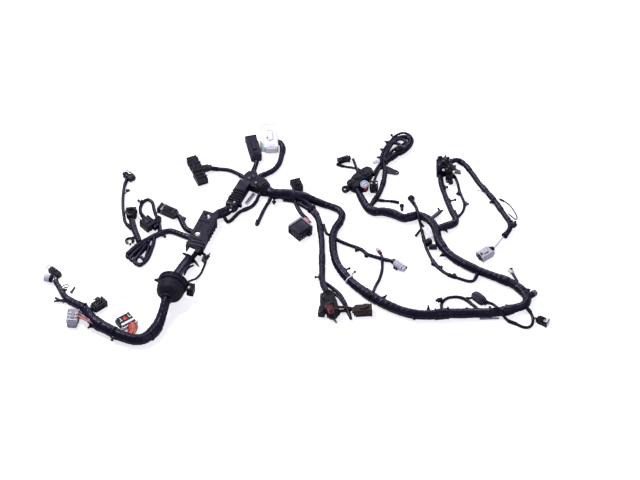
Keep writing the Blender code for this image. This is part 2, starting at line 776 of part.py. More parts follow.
def make_right_cables():
    cable("arc_cable", ARC_CABLE, SMOOTH_TUBE, THIN_D, spacing=0.014, meets="return_trunk")
    cable("pad_cable", PAD_CABLE, TAPE, 0.0078, spacing=0.014, meets="main_trunk")
    cable("pad_tail_cable", PAD_TAIL_CABLE, SMOOTH_TUBE, 0.0068, spacing=0.012, meets="pad main_trunk return_trunk")
    cable("mast_cable", MAST_CABLE, TAPE, spacing=0.020, meets="return_trunk mast_connector")
    cable("mast_inner_cable", MAST_INNER_CABLE, SMOOTH_TUBE, 0.0070, meets="mast_connector mast_cable")
    cable("arm_cable", ARM_CABLE, TAPE, ARM_D, spacing=0.021, meets="mast_connector")
    cable("module_loop_cable", MODULE_LOOP_CABLE, TAPE, spacing=0.018, meets="return_trunk")
    cable("module_branch_cable", MODULE_BRANCH_CABLE, TAPE, 0.0140, spacing=0.020, meets="module_loop_cable")
    cable("module_left_cable", MODULE_LEFT_CABLE, SMOOTH_TUBE, 0.0062, spacing=0.011, meets="module_housing")
    cable("side_cable", SIDE_CABLE, SMOOTH_TUBE, 0.0065, meets="module_loop_cable")


def make_left_cables():
    cable("upper_left_cable", UPPER_LEFT_CABLE, TAPE, 0.0118, spacing=0.018, meets="left_connector neck_and_tail_trunk")
    cable("lower_left_cable", LOWER_LEFT_CABLE, TAPE, 0.0115, spacing=0.020, meets="neck_and_tail_trunk")
    cable("folded_cable", FOLDED_CABLE, TAPE, 0.0095, spacing=0.013, meets="lower_left_cable")
    cable("ring_cable", RING_CABLE, SMOOTH_TUBE, 0.0078, spacing=0.014, meets="ribbed_block lower_left_cable")
    cable("wrapped_bundle", WRAPPED_BUNDLE, TAPE, 0.0150, spacing=0.022, meets="holder_block lower_left_cable")
    cable("tall_cable", TALL_CABLE, SMOOTH_TUBE, 0.0080, meets="tall_connector wrapped_bundle")
    cable("neck_loop_cable", NECK_LOOP_CABLE, SMOOTH_TUBE, 0.0060, meets="bracket grommet")


def make_grommet():
    """A rubber bell on its edge: rounded flange, groove, ribbed dome and a sleeve about the trunk."""
    big = GROMMET_R
    bore = GROMMET_BORE_R
    profile = [
        (bore, -0.008),
        (0.024, -0.008),
        (0.030, -0.010),
        (big - 0.001, -0.009),
        (big, -0.006),
        (big, -0.002),
        (big - 0.001, 0.000),
        (0.0315, 0.001),
        (0.0310, 0.005),
        (0.0335, 0.007),
        (0.0335, 0.013),
        (0.0315, 0.018),
        (0.0320, 0.022),
        (0.0295, 0.028),
        (0.0230, 0.034),
        (0.0170, 0.037),
        (0.0150, 0.039),
        (0.0160, 0.041),
        (0.0150, 0.044),
        (bore, 0.044),
        (bore, 0.030),
    ]
    turned("grommet", profile[::-1], 28, GROMMET_AT, GROMMET_HEADING, RUBBER)
    side = heading_vector(GROMMET_HEADING + 90.0)
    ahead = heading_vector(GROMMET_HEADING)
    at = Vector(GROMMET_AT) + side * (GROMMET_R + 0.0088) - ahead * 0.0060
    part = block("grommet_side_box", (0.022, 0.017, 0.022), (0.0, 0.0, 0.011), 0.002, harness)
    cut(part, block("slot", (0.012, 0.010, 0.006), (0.0, 0.0, 0.022)))
    place(part, (at.x, at.y, 0.0158), GROMMET_HEADING)
    paint(part, *BLACK_PLASTIC)


def make_bracket():
    """A moulded trough cover: holed top plate, ribbed right wall, left lip and a sleeve at its lower end."""
    half = BRACKET_LENGTH / 2
    top = BRACKET_TOP
    skin = BRACKET_SKIN
    part = block("bracket", (BRACKET_LENGTH - 0.020, 0.039, skin), (0.010, 0.0065, top - skin / 2), 0.0, harness)
    right = -0.0115
    join(part, block("right_wall", (BRACKET_LENGTH - 0.032, skin, top), (0.004, right - skin / 2, top / 2)))
    join(part, block("left_lip", (BRACKET_LENGTH - 0.020, 0.002, 0.007), (0.010, 0.0250, top - 0.0035)))
    join(part, block("far_leg", (0.006, 0.010, top), (half - 0.003, 0.0205, top / 2)))
    for i in range(5):
        along = -0.006 + i * 0.011
        join(part, block("wall_rib", (0.0022, 0.0030, top - 0.003), (along, right - skin - 0.0008, top / 2)))
    join(part, block("ridge", (0.0028, 0.034, 0.0022), (0.026, 0.0060, top + 0.0005)))
    join(part, block("ridge", (0.0028, 0.030, 0.0022), (-0.034, 0.0050, top + 0.0005)))
    sleeve_length = 0.030
    sleeve_at = -half + sleeve_length / 2 - 0.002
    join(part, block("sleeve", (sleeve_length, 0.040, top - 0.002), (sleeve_at, 0.0045, (top - 0.002) / 2), 0.0015))
    cut(part, block("sleeve_space", (sleeve_length + 0.02, 0.028, 0.0228), (sleeve_at, 0.0010, 0.0124)))
    join(part, block("band", (0.0030, 0.042, 0.003), (sleeve_at - 0.006, 0.0045, top - 0.002)))
    join(part, block("band", (0.0030, 0.042, 0.003), (sleeve_at + 0.006, 0.0045, top - 0.002)))
    join(part, block("tongue", (0.012, 0.014, 0.003), (-half - 0.006, -0.0070, top - 0.0045), 0.0006))
    for along in (0.042, -0.018):
        cut(part, rod("hole", (along, 0.010, top - 0.01), (along, 0.010, top + 0.01), BRACKET_HOLE_R, 20))
    place(part, BRACKET_AT, BRACKET_HEADING)
    paint(part, *CHARCOAL)


def make_duct():
    """A square cable duct about the trunk, with a stepped lid and side clips."""
    half = DUCT_LENGTH / 2
    part = block("duct", (DUCT_LENGTH, DUCT_WIDTH, DUCT_HEIGHT), (0.0, 0.0, DUCT_HEIGHT / 2), 0.0015, harness)
    inner = (DUCT_LENGTH + 0.02, DUCT_WIDTH - 2 * DUCT_SKIN, DUCT_HEIGHT - 2 * DUCT_SKIN)
    cut(part, block("space", inner, (0.0, 0.0, DUCT_HEIGHT / 2)))
    join(part, block("lid", (DUCT_LENGTH * 0.30, DUCT_WIDTH - 0.003, 0.003), (half * 0.62, 0.0, DUCT_HEIGHT), 0.0008))
    for along in (-0.020, 0.004):
        join(part, block("clip", (0.007, DUCT_WIDTH + 0.004, 0.010), (along, 0.0, DUCT_HEIGHT - 0.007), 0.0006))
        cut(part, block("clip_space", (0.010, DUCT_WIDTH - 2 * DUCT_SKIN, 0.017), (along, 0.0, 0.013)))
    ahead = heading_vector(DUCT_HEADING)
    at = Vector((-0.1246, 0.1606, 0.0)) - ahead * (half + 0.003)
    place(part, (at.x, at.y, REST), DUCT_HEADING)
    paint(part, *BLACK_PLASTIC)


def make_hub():
    """A junction cover where the neck, the bridge and three branches meet: a block and a round lobe."""
    part = block("hub", (0.028, 0.038, 0.028), (0.0165, -0.0080, 0.0140), 0.0025, harness)
    join(part, block("cap", (0.018, 0.024, 0.0030), (0.0165, -0.0080, 0.0280), 0.0010))
    join(part, rod("lobe", (0.0175, -0.0120, 0.0145), (0.0030, -0.0570, 0.0145), 0.0142, 16))
    join(part, rod("lobe_rim", (0.0072, -0.0440, 0.0145), (0.0056, -0.0490, 0.0145), 0.0150, 16))
    ahead = heading_vector(DUCT_HEADING)
    at = Vector((-0.1246, 0.1606, 0.0)) - ahead * 0.0022
    place(part, (at.x, at.y, REST + 0.0004), DUCT_HEADING)
    paint(part, *BLACK_PLASTIC)


def make_hub_connectors():
    part = block("bar_connector", (0.052, 0.026, 0.020), (0.020, 0.0, 0.010), 0.0015, harness)
    join(part, block("second", (0.036, 0.027, 0.018), (-0.020, 0.0025, 0.009), 0.0015))
    join(part, rod("boot", (0.0010, -0.0065, 0.0098), (-0.0010, -0.0290, 0.0090), 0.0082, 14, 0.0064))
    join(part, block("groove_bar", (0.0024, 0.0285, 0.0190), (0.034, 0.0, 0.0112)))
    join(part, block("groove_bar", (0.0024, 0.0285, 0.0190), (0.021, 0.0, 0.0112)))
    cut(part, block("socket", (0.020, 0.004, 0.012), (0.018, -0.0130, 0.010)))
    cut(part, block("socket", (0.020, 0.004, 0.010), (-0.022, -0.0120, 0.009)))
    place(part, (-0.2400, 0.2030), 113.3)
    paint(part, *BLACK_PLASTIC)

    part = housing("top_connector", (0.068, 0.027, 0.021), (-0.1065, 0.2790), 102.9, CHARCOAL,
                   socket=0.018, tongue=0.0, ribs=1, collar=0.0)
    cut(part, block("cable_mouth", (0.008, 0.019, 0.013), (-0.034, 0.0, 0.0105)))

    part = housing("pale_connector", (0.078, 0.034, 0.020), (-0.0670, 0.3130), 96.0, PALE,
                   socket=0.016, tongue=0.0, ribs=1, collar=0.0)
    cut(part, rod("lock_hole", (-0.004, 0.004, 0.012), (-0.004, 0.004, 0.040), 0.0024, 12))


def make_middle_connectors():
    part = housing("bridge_connector", (0.030, 0.024, 0.018), (-0.0010, 0.1580), 108.0, BLACK_PLASTIC, collar=0.6)
    part = housing("big_connector", (0.042, 0.040, 0.022), (0.0080, 0.0130), 222.0, CHARCOAL,
                   tongue=0.6, ribs=3, collar=0.7)
    for i in range(3):
        join(part, block("tooth", (0.0030, 0.0030, 0.0080), (-0.010 + i * 0.009, 0.0210, 0.008)))
    part = housing("drop_connector", (0.060, 0.027, 0.026), (0.0800, -0.2240), -79.0, BLACK_PLASTIC,
                   socket=0.014, tongue=0.0, ribs=2, collar=0.0)
    housing("brown_connector", (0.040, 0.024, 0.020), (0.1585, -0.2410), 4.0, BROWN, ribs=2, collar=0.75)
    part = rod("silver_connector", (0.0, 0.0, 0.0095), (0.024, 0.0, 0.0095), 0.0088, 18, group=harness)
    join(part, rod("band", (0.006, 0.0, 0.0095), (0.010, 0.0, 0.0095), 0.0094, 18))
    join(part, rod("nose", (0.020, 0.0, 0.0095), (0.031, 0.0, 0.0095), 0.0066, 14))
    place(part, (0.2350, -0.0908), -44.0)
    paint(part, *GREY)


def make_right_connectors():
    part = block("pad", (0.040, 0.022, 0.012), (0.0, 0.0, 0.006), 0.0035, harness)
    join(part, block("pad_rim", (0.030, 0.0245, 0.004), (0.0, 0.0, 0.006), 0.0012))
    join(part, block("pad_top", (0.022, 0.012, 0.003), (0.0, 0.0, 0.0125), 0.0008))
    place(part, (0.4360, -0.2000), -49.0)
    paint(part, *CHARCOAL)
    housing("right_end_connector", (0.026, 0.017, 0.015), (0.5830, -0.2730), -30.0, BLACK_PLASTIC, ribs=1, latch=False)
    housing("arm_connector", (0.034, 0.027, 0.016), (0.4500, -0.0620), 218.0, GREY, tongue=0.6, ribs=1)

    part = block("mast_connector", (0.040, 0.020, 0.025), (0.0, 0.011, 0.0125), 0.0015, harness)
    join(part, block("second", (0.034, 0.020, 0.022), (-0.002, -0.0085, 0.011), 0.0015))
    join(part, block("third", (0.016, 0.014, 0.030), (0.006, 0.003, 0.015), 0.0015))
    join(part, block("spike", (0.004, 0.004, 0.014), (0.016, 0.000, 0.030), 0.0008))
    join(part, block("fin", (0.016, 0.010, 0.004), (-0.004, -0.0215, 0.018), 0.0008))
    cut(part, block("socket", (0.006, 0.014, 0.018), (0.020, 0.011, 0.0125)))
    cut(part, block("socket", (0.006, 0.014, 0.015), (0.015, -0.0095, 0.011)))
    place(part, (0.3585, 0.2120), 90.0)
    paint(part, *BLACK_PLASTIC)


def make_module():
    """The curved housing with its eyelet, the round face and dark connector beside it, and the eared plate."""
    shape = [
        (0.128, 0.156), (0.129, 0.168), (0.136, 0.180), (0.148, 0.192), (0.160, 0.203), (0.169, 0.208),
        (0.180, 0.203), (0.184, 0.193), (0.178, 0.180), (0.166, 0.170), (0.154, 0.164), (0.151, 0.152),
        (0.149, 0.142), (0.138, 0.142), (0.130, 0.147),
    ]
    part = outline("module_housing", shape, 0.024, BLACK_PLASTIC)
    join(part, rod("lug", (0.117, 0.147, -0.006), (0.117, 0.147, -0.001), 0.0098, 20))
    join(part, block("lug_arm", (0.020, 0.014, 0.005), (0.127, 0.150, -0.0035)))
    cut(part, rod("eyelet", (0.117, 0.147, -0.02), (0.117, 0.147, 0.02), 0.0048, 16))
    join(part, block("ridge", (0.030, 0.0020, 0.0020), (0.157, 0.186, 0.0125)))
    join(part, block("ridge", (0.022, 0.0020, 0.0020), (0.147, 0.172, 0.0125)))
    part.location = (0.0, 0.0, 0.012 + REST)
    paint(part, *BLACK_PLASTIC)

    part = rod("round_connector", (0.0, 0.0, 0.0), (0.0, 0.0, 0.014), 0.0100, 20, group=harness)
    join(part, rod("rim", (0.0, 0.0, 0.004), (0.0, 0.0, 0.006), 0.0108, 20))
    cut(part, rod("recess", (0.0, 0.0, 0.0108), (0.0, 0.0, 0.02), 0.0082, 18))
    join(part, block("pin_bar", (0.009, 0.0022, 0.0036), (0.0, 0.0, 0.0116)))
    part.location = (0.1625, 0.1495, 0.0080)
    part.rotation_euler = (math.radians(24.0), 0.0, 0.0)
    paint(part, (0.55, 0.62, 0.80), 0.4)

    housing("dark_connector", (0.022, 0.019, 0.018), (0.1852, 0.1545), 92.0, BLACK_PLASTIC, ribs=1, latch=True, collar=0.6)


def make_eared_plate():
    """The flat holder with a fixing hole, seated against the bundle that it carries."""
    shape = [
        (0.2120, 0.2260), (0.2220, 0.2210), (0.2440, 0.2080), (0.2480, 0.2030), (0.2450, 0.1975),
        (0.2380, 0.1970), (0.2200, 0.2010), (0.2120, 0.2020),
    ]
    part = outline("eared_plate", shape, 0.004, BLACK_PLASTIC)
    cut(part, rod("ear_hole", (0.2415, 0.2030, -0.02), (0.2415, 0.2030, 0.02), 0.0026, 14))
    part.location = (0.0, 0.0, 0.0060)
    trim(part, "module_loop_cable")


def make_left_connectors():
    housing("left_connector", (0.046, 0.022, 0.018), (-0.3125, 0.0755), 150.0, OLIVE, ribs=2, collar=0.7)
    part = block("ribbed_block", (0.030, 0.030, 0.020), (0.0, 0.0, 0.010), 0.0015, harness)
    for i in range(4):
        join(part, block("rib", (0.0022, 0.0325, 0.0215), (-0.0105 + i * 0.007, 0.0, 0.01075)))
    cut(part, block("socket", (0.020, 0.022, 0.0034), (0.0, 0.0, 0.0215)))
    place(part, (-0.3585, 0.0330), 42.0)
    paint(part, *CHARCOAL)
    part = block("tall_connector", (0.016, 0.014, 0.013), (0.0, 0.0, 0.0065), 0.0015, harness)
    join(part, rod("lobe", (-0.010, 0.0060, 0.0070), (0.002, 0.0010, 0.0070), 0.0064, 14))
    join(part, rod("neck", (0.004, 0.0, 0.0065), (0.014, 0.0, 0.0065), 0.0052, 12))
    place(part, (-0.4080, 0.1870), 155.0)
    paint(part, *BLACK_PLASTIC)
    housing("holder_block", (0.024, 0.024, 0.016), (-0.3990, 0.0700), 96.0, BLACK_PLASTIC, ribs=2, latch=False, collar=0.6)


def make_tail_connectors():
    part = housing("tail_connector", (0.030, 0.015, 0.013), (-0.5775, -0.1180), 138.0, BLACK_PLASTIC, ribs=1, latch=True)
    part = rod("tail_round_connector", (0.0, 0.0, 0.0098), (0.013, 0.0, 0.0098), 0.0085, 18, group=harness)
    join(part, rod("rim", (0.009, 0.0, 0.0098), (0.013, 0.0, 0.0098), 0.0095, 18))
    cut(part, rod("recess", (0.0105, 0.0, 0.0098), (0.02, 0.0, 0.0098), 0.0070, 16))
    place(part, (-0.5885, -0.1400), 165.0)
    paint(part, *GREY)
    housing("multi_way_connector", (0.042, 0.025, 0.018), (-0.5290, -0.2640), 84.0, GREY, tongue=0.6, ribs=3, collar=0.8)
    part = housing("tail_black_connector", (0.034, 0.021, 0.019), (-0.4680, -0.2225), 40.0, BLACK_PLASTIC, ribs=2, latch=False)
    part = housing("two_tone_connector", (0.036, 0.027, 0.014), (-0.4050, -0.2700), 35.0, BLACK_PLASTIC,
                   tongue=0.6, ribs=0, latch=False)
    cut(part, block("window", (0.009, 0.018, 0.0020), (-0.007, 0.0, 0.014)))
    cut(part, block("window", (0.009, 0.018, 0.0020), (0.007, 0.0, 0.014)))


def lead(name, route, diameter, meets):
    wires(harness.objects[name], route, diameter, meets)


def make_leads():
    """The short wire tails, each part of the connector that it comes out of."""
    lead("multi_way_connector", [
        (-0.5240, -0.2600, 0.0095), (-0.5120, -0.2620, 0.0105), (-0.4990, -0.2620, 0.0130),
        (-0.4880, -0.2600, 0.0142)], 0.0095, "neck_and_tail_trunk")
    lead("tail_black_connector", [
        (-0.4770, -0.2300, 0.0095), (-0.4880, -0.2390, 0.0110), (-0.4965, -0.2480, 0.0130)],
        0.0090, "neck_and_tail_trunk")
    lead("two_tone_connector", [
        (-0.4000, -0.2760, 0.0075), (-0.3960, -0.2900, 0.0085), (-0.3960, -0.3080, 0.0110),
        (-0.3960, -0.3300, 0.0140)], 0.0070, "neck_and_tail_trunk")
    lead("tail_connector", [
        (-0.5700, -0.1250, 0.0065), (-0.5695, -0.1340, 0.0066), (-0.5715, -0.1440, 0.0066),
        (-0.5700, -0.1540, 0.0067)], 0.0050, "neck_and_tail_trunk")
    lead("tail_round_connector", [
        (-0.5930, -0.1388, 0.0098), (-0.5850, -0.1430, 0.0080), (-0.5770, -0.1500, 0.0068),
        (-0.5700, -0.1580, 0.0067)], 0.0050, "neck_and_tail_trunk tail_connector")
    lead("bridge_connector", [
        (0.0025, 0.1480, 0.0090), (0.0045, 0.1380, 0.0100), (0.0020, 0.1230, 0.0130)], 0.0080, "main_trunk")
    lead("brown_connector", [
        (0.1450, -0.2405, 0.0105), (0.1320, -0.2370, 0.0130), (0.1190, -0.2350, 0.0142),
        (0.1050, -0.2340, 0.0140), (0.0900, -0.2330, 0.0135)], 0.0070, "drop_connector drop_right_cable")
    lead("right_end_connector", [
        (0.5770, -0.2700, 0.0075), (0.5670, -0.2645, 0.0070), (0.5580, -0.2610, 0.0062)], 0.0052, "pad_tail_cable")
    lead("arm_connector", [
        (0.4590, -0.0550, 0.0080), (0.4680, -0.0440, 0.0060), (0.4760, -0.0330, 0.0045),
        (0.4880, -0.0150, 0.0050), (0.5005, 0.0025, 0.0069)], 0.0045, "arm_cable")
    lead("pad", [
        (0.4320, -0.1990, 0.0060), (0.4200, -0.1990, 0.0050), (0.4100, -0.2020, 0.0046),
        (0.4025, -0.2050, 0.0044)], 0.0045, "pad_cable")
    lead("dark_connector", [
        (0.1860, 0.1500, 0.0090), (0.1880, 0.1400, 0.0085), (0.1940, 0.1330, 0.0075),
        (0.1985, 0.1300, 0.0068)], 0.0050, "module_loop_cable")
    lead("round_connector", [
        (0.1615, 0.1450, 0.0110), (0.1575, 0.1370, 0.0105), (0.1520, 0.1270, 0.0110)],
        0.0060, "return_trunk module_housing")


def rest_at_origin():
    """Moves the whole harness so that the middle of its underside is the origin."""
    bpy.context.view_layer.update()
    graph = bpy.context.evaluated_depsgraph_get()
    low = [math.inf] * 3
    high = [-math.inf] * 3
    for part in harness.objects:
        mesh = bpy.data.meshes.new_from_object(part.evaluated_get(graph))
        for vert in mesh.vertices:
            spot = part.matrix_world @ vert.co
            low = [min(p, q) for p, q in zip(low, spot)]
            high = [max(p, q) for p, q in zip(high, spot)]
        bpy.data.meshes.remove(mesh)
    move = Vector(((low[0] + high[0]) / 2, (low[1] + high[1]) / 2, low[2]))
    for part in harness.objects:
        part.location -= move
    print("moved by", *(round(-value, 6) for value in move))


clear_scene()
harness = collection("wiring_harness")
cutters = collection("cutters")
make_grommet()
make_bracket()
make_duct()
make_hub()
make_hub_connectors()
make_middle_connectors()
make_right_connectors()
make_module()
make_left_connectors()
make_tail_connectors()
make_trunks()
make_hub_cables()
make_middle_cables()
make_right_cables()
make_left_cables()
make_eared_plate()
make_leads()
for piece in harness.objects:
    if piece.type == "MESH":
        soften(piece)
rest_at_origin()
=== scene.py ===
"""Looks of the wiring harness: bundles, tubes, connectors, clips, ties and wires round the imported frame.

Typed lengths and places are millimetres in the part's source, before its shift to the origin. A Vector, a run
and the frame are in metres. Headings and turns are degrees.
"""

import math
import random

import bmesh
import bpy
from mathutils import Matrix, Vector, noise


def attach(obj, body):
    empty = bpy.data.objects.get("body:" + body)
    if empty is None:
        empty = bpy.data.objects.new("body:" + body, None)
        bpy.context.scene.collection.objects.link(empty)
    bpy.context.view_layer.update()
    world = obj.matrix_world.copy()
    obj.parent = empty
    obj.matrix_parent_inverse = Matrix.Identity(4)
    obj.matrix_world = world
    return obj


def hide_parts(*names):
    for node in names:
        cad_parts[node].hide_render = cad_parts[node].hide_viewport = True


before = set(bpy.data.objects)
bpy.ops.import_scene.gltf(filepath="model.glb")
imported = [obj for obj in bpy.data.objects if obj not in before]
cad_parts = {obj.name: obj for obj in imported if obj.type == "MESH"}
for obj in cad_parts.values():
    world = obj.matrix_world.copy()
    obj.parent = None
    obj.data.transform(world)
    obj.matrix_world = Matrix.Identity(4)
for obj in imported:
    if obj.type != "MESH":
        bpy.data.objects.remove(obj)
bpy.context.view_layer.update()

SHIFT = Vector((0.002804, -0.002772, -0.000252))
MILLIMETRES = 1000
REST = 0.3

VIEW_ELEVATION = math.radians(48.6)
VIEW_DISTANCE = 12.0
VIEW_WIDTH = 1.536
SENSOR = 36.0
VIEW_AT = Vector((0.0552, -0.0096, 0.0)) + SHIFT

MAIN_TRUNK = [
    (-75.4, 140.4, 14.5, 22.5), (-64.5, 130.4, 14.5, 23), (-56, 126.8, 14, 24), (-42, 126.2, 13.4, 24.5),
    (-22, 125.5, 13, 24.5), (-1, 122, 13, 24.5), (18, 116, 13, 24), (40, 108, 11, 19), (65, 97, 9, 16.5),
    (86, 88, 9, 16.5), (101, 79, 9, 17), (108, 63, 9.2, 17.2), (103, 40, 9.5, 17.5), (92, 19, 9.7, 18),
    (86, -3, 10, 18.5), (86, -31, 10, 19), (89, -64, 10, 19), (97, -97, 10.5, 19.5),
    (113, -129, 11, 20.5), (135, -159, 11.3, 21.5), (161, -185, 11.8, 22.5), (190, -209, 12, 23),
    (221, -230, 12, 23), (253, -246, 12, 23), (283, -254, 12, 23), (314, -256, 12, 23),
    (350, -253, 12, 23), (415, -251, 12, 23), (456, -250, 11.8, 22.5), (494, -244, 11.6, 22),
    (508, -238.5, 11.4, 21.6), (522, -233, 11.3, 21.3),
]
RETURN_TRUNK = [
    (517.2, -234.9, 11.4, 20.8), (534.5, -228.1, 11.2, 20.9), (543, -219, 11.2, 21),
    (546.5, -205.5, 11.2, 21), (542, -190, 11.2, 21), (531, -175, 11.2, 21), (516, -161, 11.2, 21),
    (494, -147, 11.2, 21), (465, -133, 11, 20.5), (435, -118, 11, 20.5), (415, -106, 11, 20.5),
    (386, -86, 11, 20.5), (362, -62, 11, 20.5), (348, -38, 10.8, 20), (339, -18, 10.8, 20),
    (335, 2, 10.8, 20), (332, 21, 10.8, 20), (324, 38, 10.6, 19.5), (310, 52, 10.6, 19.5),
    (291, 60, 10.6, 19.5), (272, 55, 10.6, 20), (255, 52, 11, 20.5), (231, 65, 11, 20.5),
    (208, 72, 11, 20.5), (185, 73, 10.8, 20), (169, 85, 10.6, 19.5), (159, 106, 10.4, 18),
    (151, 126, 11, 16.5), (144, 148, 12, 16),
]
NECK_AND_TAIL_TRUNK = [
    (-122.6, 165, 12.8, 19), (-139, 129, 12.5, 19), (-153, 98.5, 12.5, 19), (-161, 83, 12.5, 19.5),
    (-172, 71, 12.5, 21.5), (-187, 63, 12.5, 21.5), (-199, 53, 12.5, 19.5), (-205.8, 33.2, 10.2, 16.5),
    (-221.2, -2.2, 10.4, 17), (-236, -34, 12, 20), (-245, -57, 12, 20.5), (-254.5, -76, 13, 21.5),
    (-266, -98, 16, 21.8), (-275.5, -121, 23, 21.6), (-283.5, -143, 31, 21.5), (-288.2, -159, 35.8, 21.4),
    (-291.4, -170.6, 36.5, 21.4), (-295.7, -186, 36.5, 21.4), (-305.2, -219.8, 36.5, 21.4),
    (-307.9, -229.4, 36.5, 21.4), (-310.5, -239, 35.2, 21.5), (-314, -253, 29, 22.2),
    (-320, -272, 20, 23.6), (-326.5, -290, 15.2, 25.4), (-334.5, -307, 14, 26.2),
    (-347, -322.5, 14, 26.4), (-366, -334, 14, 26.4), (-389, -333, 14, 26.4), (-416, -322, 14.3, 26.8),
    (-444, -304, 14.5, 27.4), (-469, -287, 14.5, 27.6), (-487, -267, 14.2, 27), (-498, -247, 13, 24.8),
    (-511, -230, 11.5, 22), (-529, -216, 9.8, 18.5), (-546, -201, 8.2, 15.2), (-558, -182, 7.2, 13.2),
    (-567, -162, 6.8, 12.2), (-575, -145, 6.6, 11.8),
]
DROP_TRUNK = [
    (15, 111, 10.5), (24, 97, 8.5), (32, 86, 7.8), (40, 75, 7.8), (48, 59, 7.8), (53, 40, 7.8),
    (56, 15, 7.8), (59, -22, 7.8), (60, -70, 7.8), (60, -120, 7.8), (62, -156, 9.5), (69, -180, 12.5),
    (75.5, -201, 13),
]
DROP_RIGHT_CABLE = [
    (64, -152, 9), (74, -158, 6.5), (86, -168, 5.2), (101, -185, 5.2), (112, -207, 5.2), (119, -229, 5.2),
    (125, -249, 5),
]
BIG_CONNECTOR_CABLE = [
    (-7, 115, 11), (-3, 101, 7.5), (5, 81, 5.6), (14, 65, 5.8), (24, 50, 8.5), (25.5, 37, 11),
    (21.5, 28, 11),
]
HUB_LEFT_CABLE = [
    (-124, 177, 13.5), (-136, 187, 12), (-148, 201, 7), (-168, 212, 5.6), (-193, 215, 5.6),
    (-212, 215, 8.5),
]
HUB_TOP_CABLE = [
    (-112.5, 183, 13), (-108, 194, 11), (-106, 208, 7), (-102, 224, 7.5), (-98.5, 238, 10),
    (-101, 254, 10.5),
]
HUB_RIGHT_CABLE = [
    (-96.5, 175, 13), (-87, 188, 10.5), (-73, 199, 7), (-56, 212, 6.7), (-44, 233, 6.7),
    (-38.5, 258, 6.7), (-35.5, 276, 7.5), (-37, 290, 9), (-42, 298.5, 9.5), (-52, 301, 9.5),
]
HUB_DROP_CABLE = [
    (-85, 135.5, 13), (-93.5, 123.5, 8.5), (-99, 110, 5.5), (-109, 95, 5), (-122, 86, 5), (-137, 77, 5),
    (-148, 64, 5), (-158, 50, 5), (-168, 44, 6), (-178, 60, 12),
]
HUB_STUB_CABLE = [
    (-62, 123, 11), (-69, 107, 6), (-76, 93, 5), (-86, 66, 5), (-95, 38, 5),
]
MIDDLE_CABLE = [
    (89, -13, 9.5), (105, -21, 7), (123, -29, 5), (153, -44, 5), (168, -59, 5), (185, -67, 5),
    (208, -76, 5.5), (229, -85.5, 8.5), (239, -94.5, 9.5),
]
MIDDLE_LINK_CABLE = [
    (204, -76, 6), (204, -93, 4.5), (203, -111, 4.2), (197, -137, 4.2), (187, -162, 5.5), (180, -190, 11),
]
ARC_CABLE = [
    (276.5, 108, 8.5), (281, 95, 15), (286, 76, 23), (289.5, 60, 25), (293, 44, 21), (298, 25, 11),
    (301.5, 6, 5), (305, -16, 4.6), (310, -40, 4.6), (318, -64, 4.6), (328, -86, 4.6), (341, -106, 4.6),
    (360, -123, 4.6), (385, -135, 4.6), (407, -144, 4.6), (419, -144, 5), (425.5, -137, 7),
    (431, -123, 10),
]
PAD_CABLE = [
    (344, -248, 11.5), (343, -228, 7), (345, -212, 4.5), (356, -199, 4.4), (373, -194, 4.4),
    (390, -196, 4.4), (403, -204, 4.4), (414, -216, 4.8), (424, -228, 8), (431, -245, 11.5),
]
PAD_TAIL_CABLE = [
    (444, -208, 7), (453, -219, 13), (463, -232, 23.5), (473, -245, 27), (482, -256, 25), (492, -265, 13),
    (502, -270, 5), (516, -276, 4.2), (534, -287, 4.2), (548, -288, 4.2), (557, -278, 4.2),
    (558.5, -262, 6), (554, -247, 8.5), (544, -231, 11),
]
MAST_CABLE = [
    (335, 16, 10.5, 17.2), (355, 25.5, 9.8, 17.6), (368, 31, 9.8, 17.8), (380, 39, 9.5, 16.5),
    (380, 55, 8, 14), (373, 75, 7.4, 13), (365, 101, 7, 12.6), (358, 126, 7, 12.6), (352, 150, 7, 12.6),
    (348, 174, 8.8, 12.8), (347.5, 198, 9.5, 12.8),
]
MAST_INNER_CABLE = [
    (372, 198, 12), (383, 184, 8), (389, 168, 4.5), (392.5, 145, 4), (397.5, 127, 4), (403.5, 105, 4),
    (402, 86, 4), (395, 70, 4.5), (380, 50, 8),
]
ARM_CABLE = [
    (369, 223, 11), (376, 235, 11), (387, 240, 10), (398, 237, 7.2), (409.5, 225, 6.9), (419.5, 208, 6.9),
    (430, 188, 6.9), (440, 168, 6.9), (452, 150, 6.9), (464, 131, 6.9), (477, 110, 6.9), (489, 86, 6.9),
    (501, 62, 6.9), (511, 42, 6.9), (512, 24, 6.9), (506, 10, 6.9), (499, -1, 6.9),
]
UPPER_LEFT_CABLE = [
    (-296, 66, 9), (-282, 56, 7.5), (-275, 37, 6.6), (-266, 20, 6.6), (-251, 9, 7), (-227, 0, 11),
]
LOWER_LEFT_CABLE = [
    (-232, -19, 11), (-249, -11.7, 8.5), (-262, -6, 6.6), (-277, 1.5, 6.4), (-292, 9, 6.4),
    (-306, 13, 6.4), (-321, 9, 6.4), (-338, -1, 6.4), (-354, -11, 6.4), (-374, -26, 6.4),
    (-391, -45, 6.4), (-405, -62, 6.4),
]
FOLDED_CABLE = [
    (-342.5, -7, 6.4), (-344, -25, 5.6), (-347, -40, 5.5), (-352, -60, 5.5), (-360, -80, 5.5),
    (-372, -92, 5.5), (-385, -89, 5.5), (-388, -76, 5.5), (-379, -63, 5.5), (-368, -48, 5.5),
    (-360, -35, 5.7), (-354, -15, 6.2),
]
RING_CABLE = [
    (-364, 48, 9), (-372, 62, 7), (-377, 74, 5.5), (-378, 91, 4.6), (-372, 108, 4.6), (-360, 116, 4.6),
    (-350, 108, 4.6), (-346, 90, 4.6), (-341, 68, 4.6), (-332.5, 44, 4.6), (-329, 11, 6.8),
]
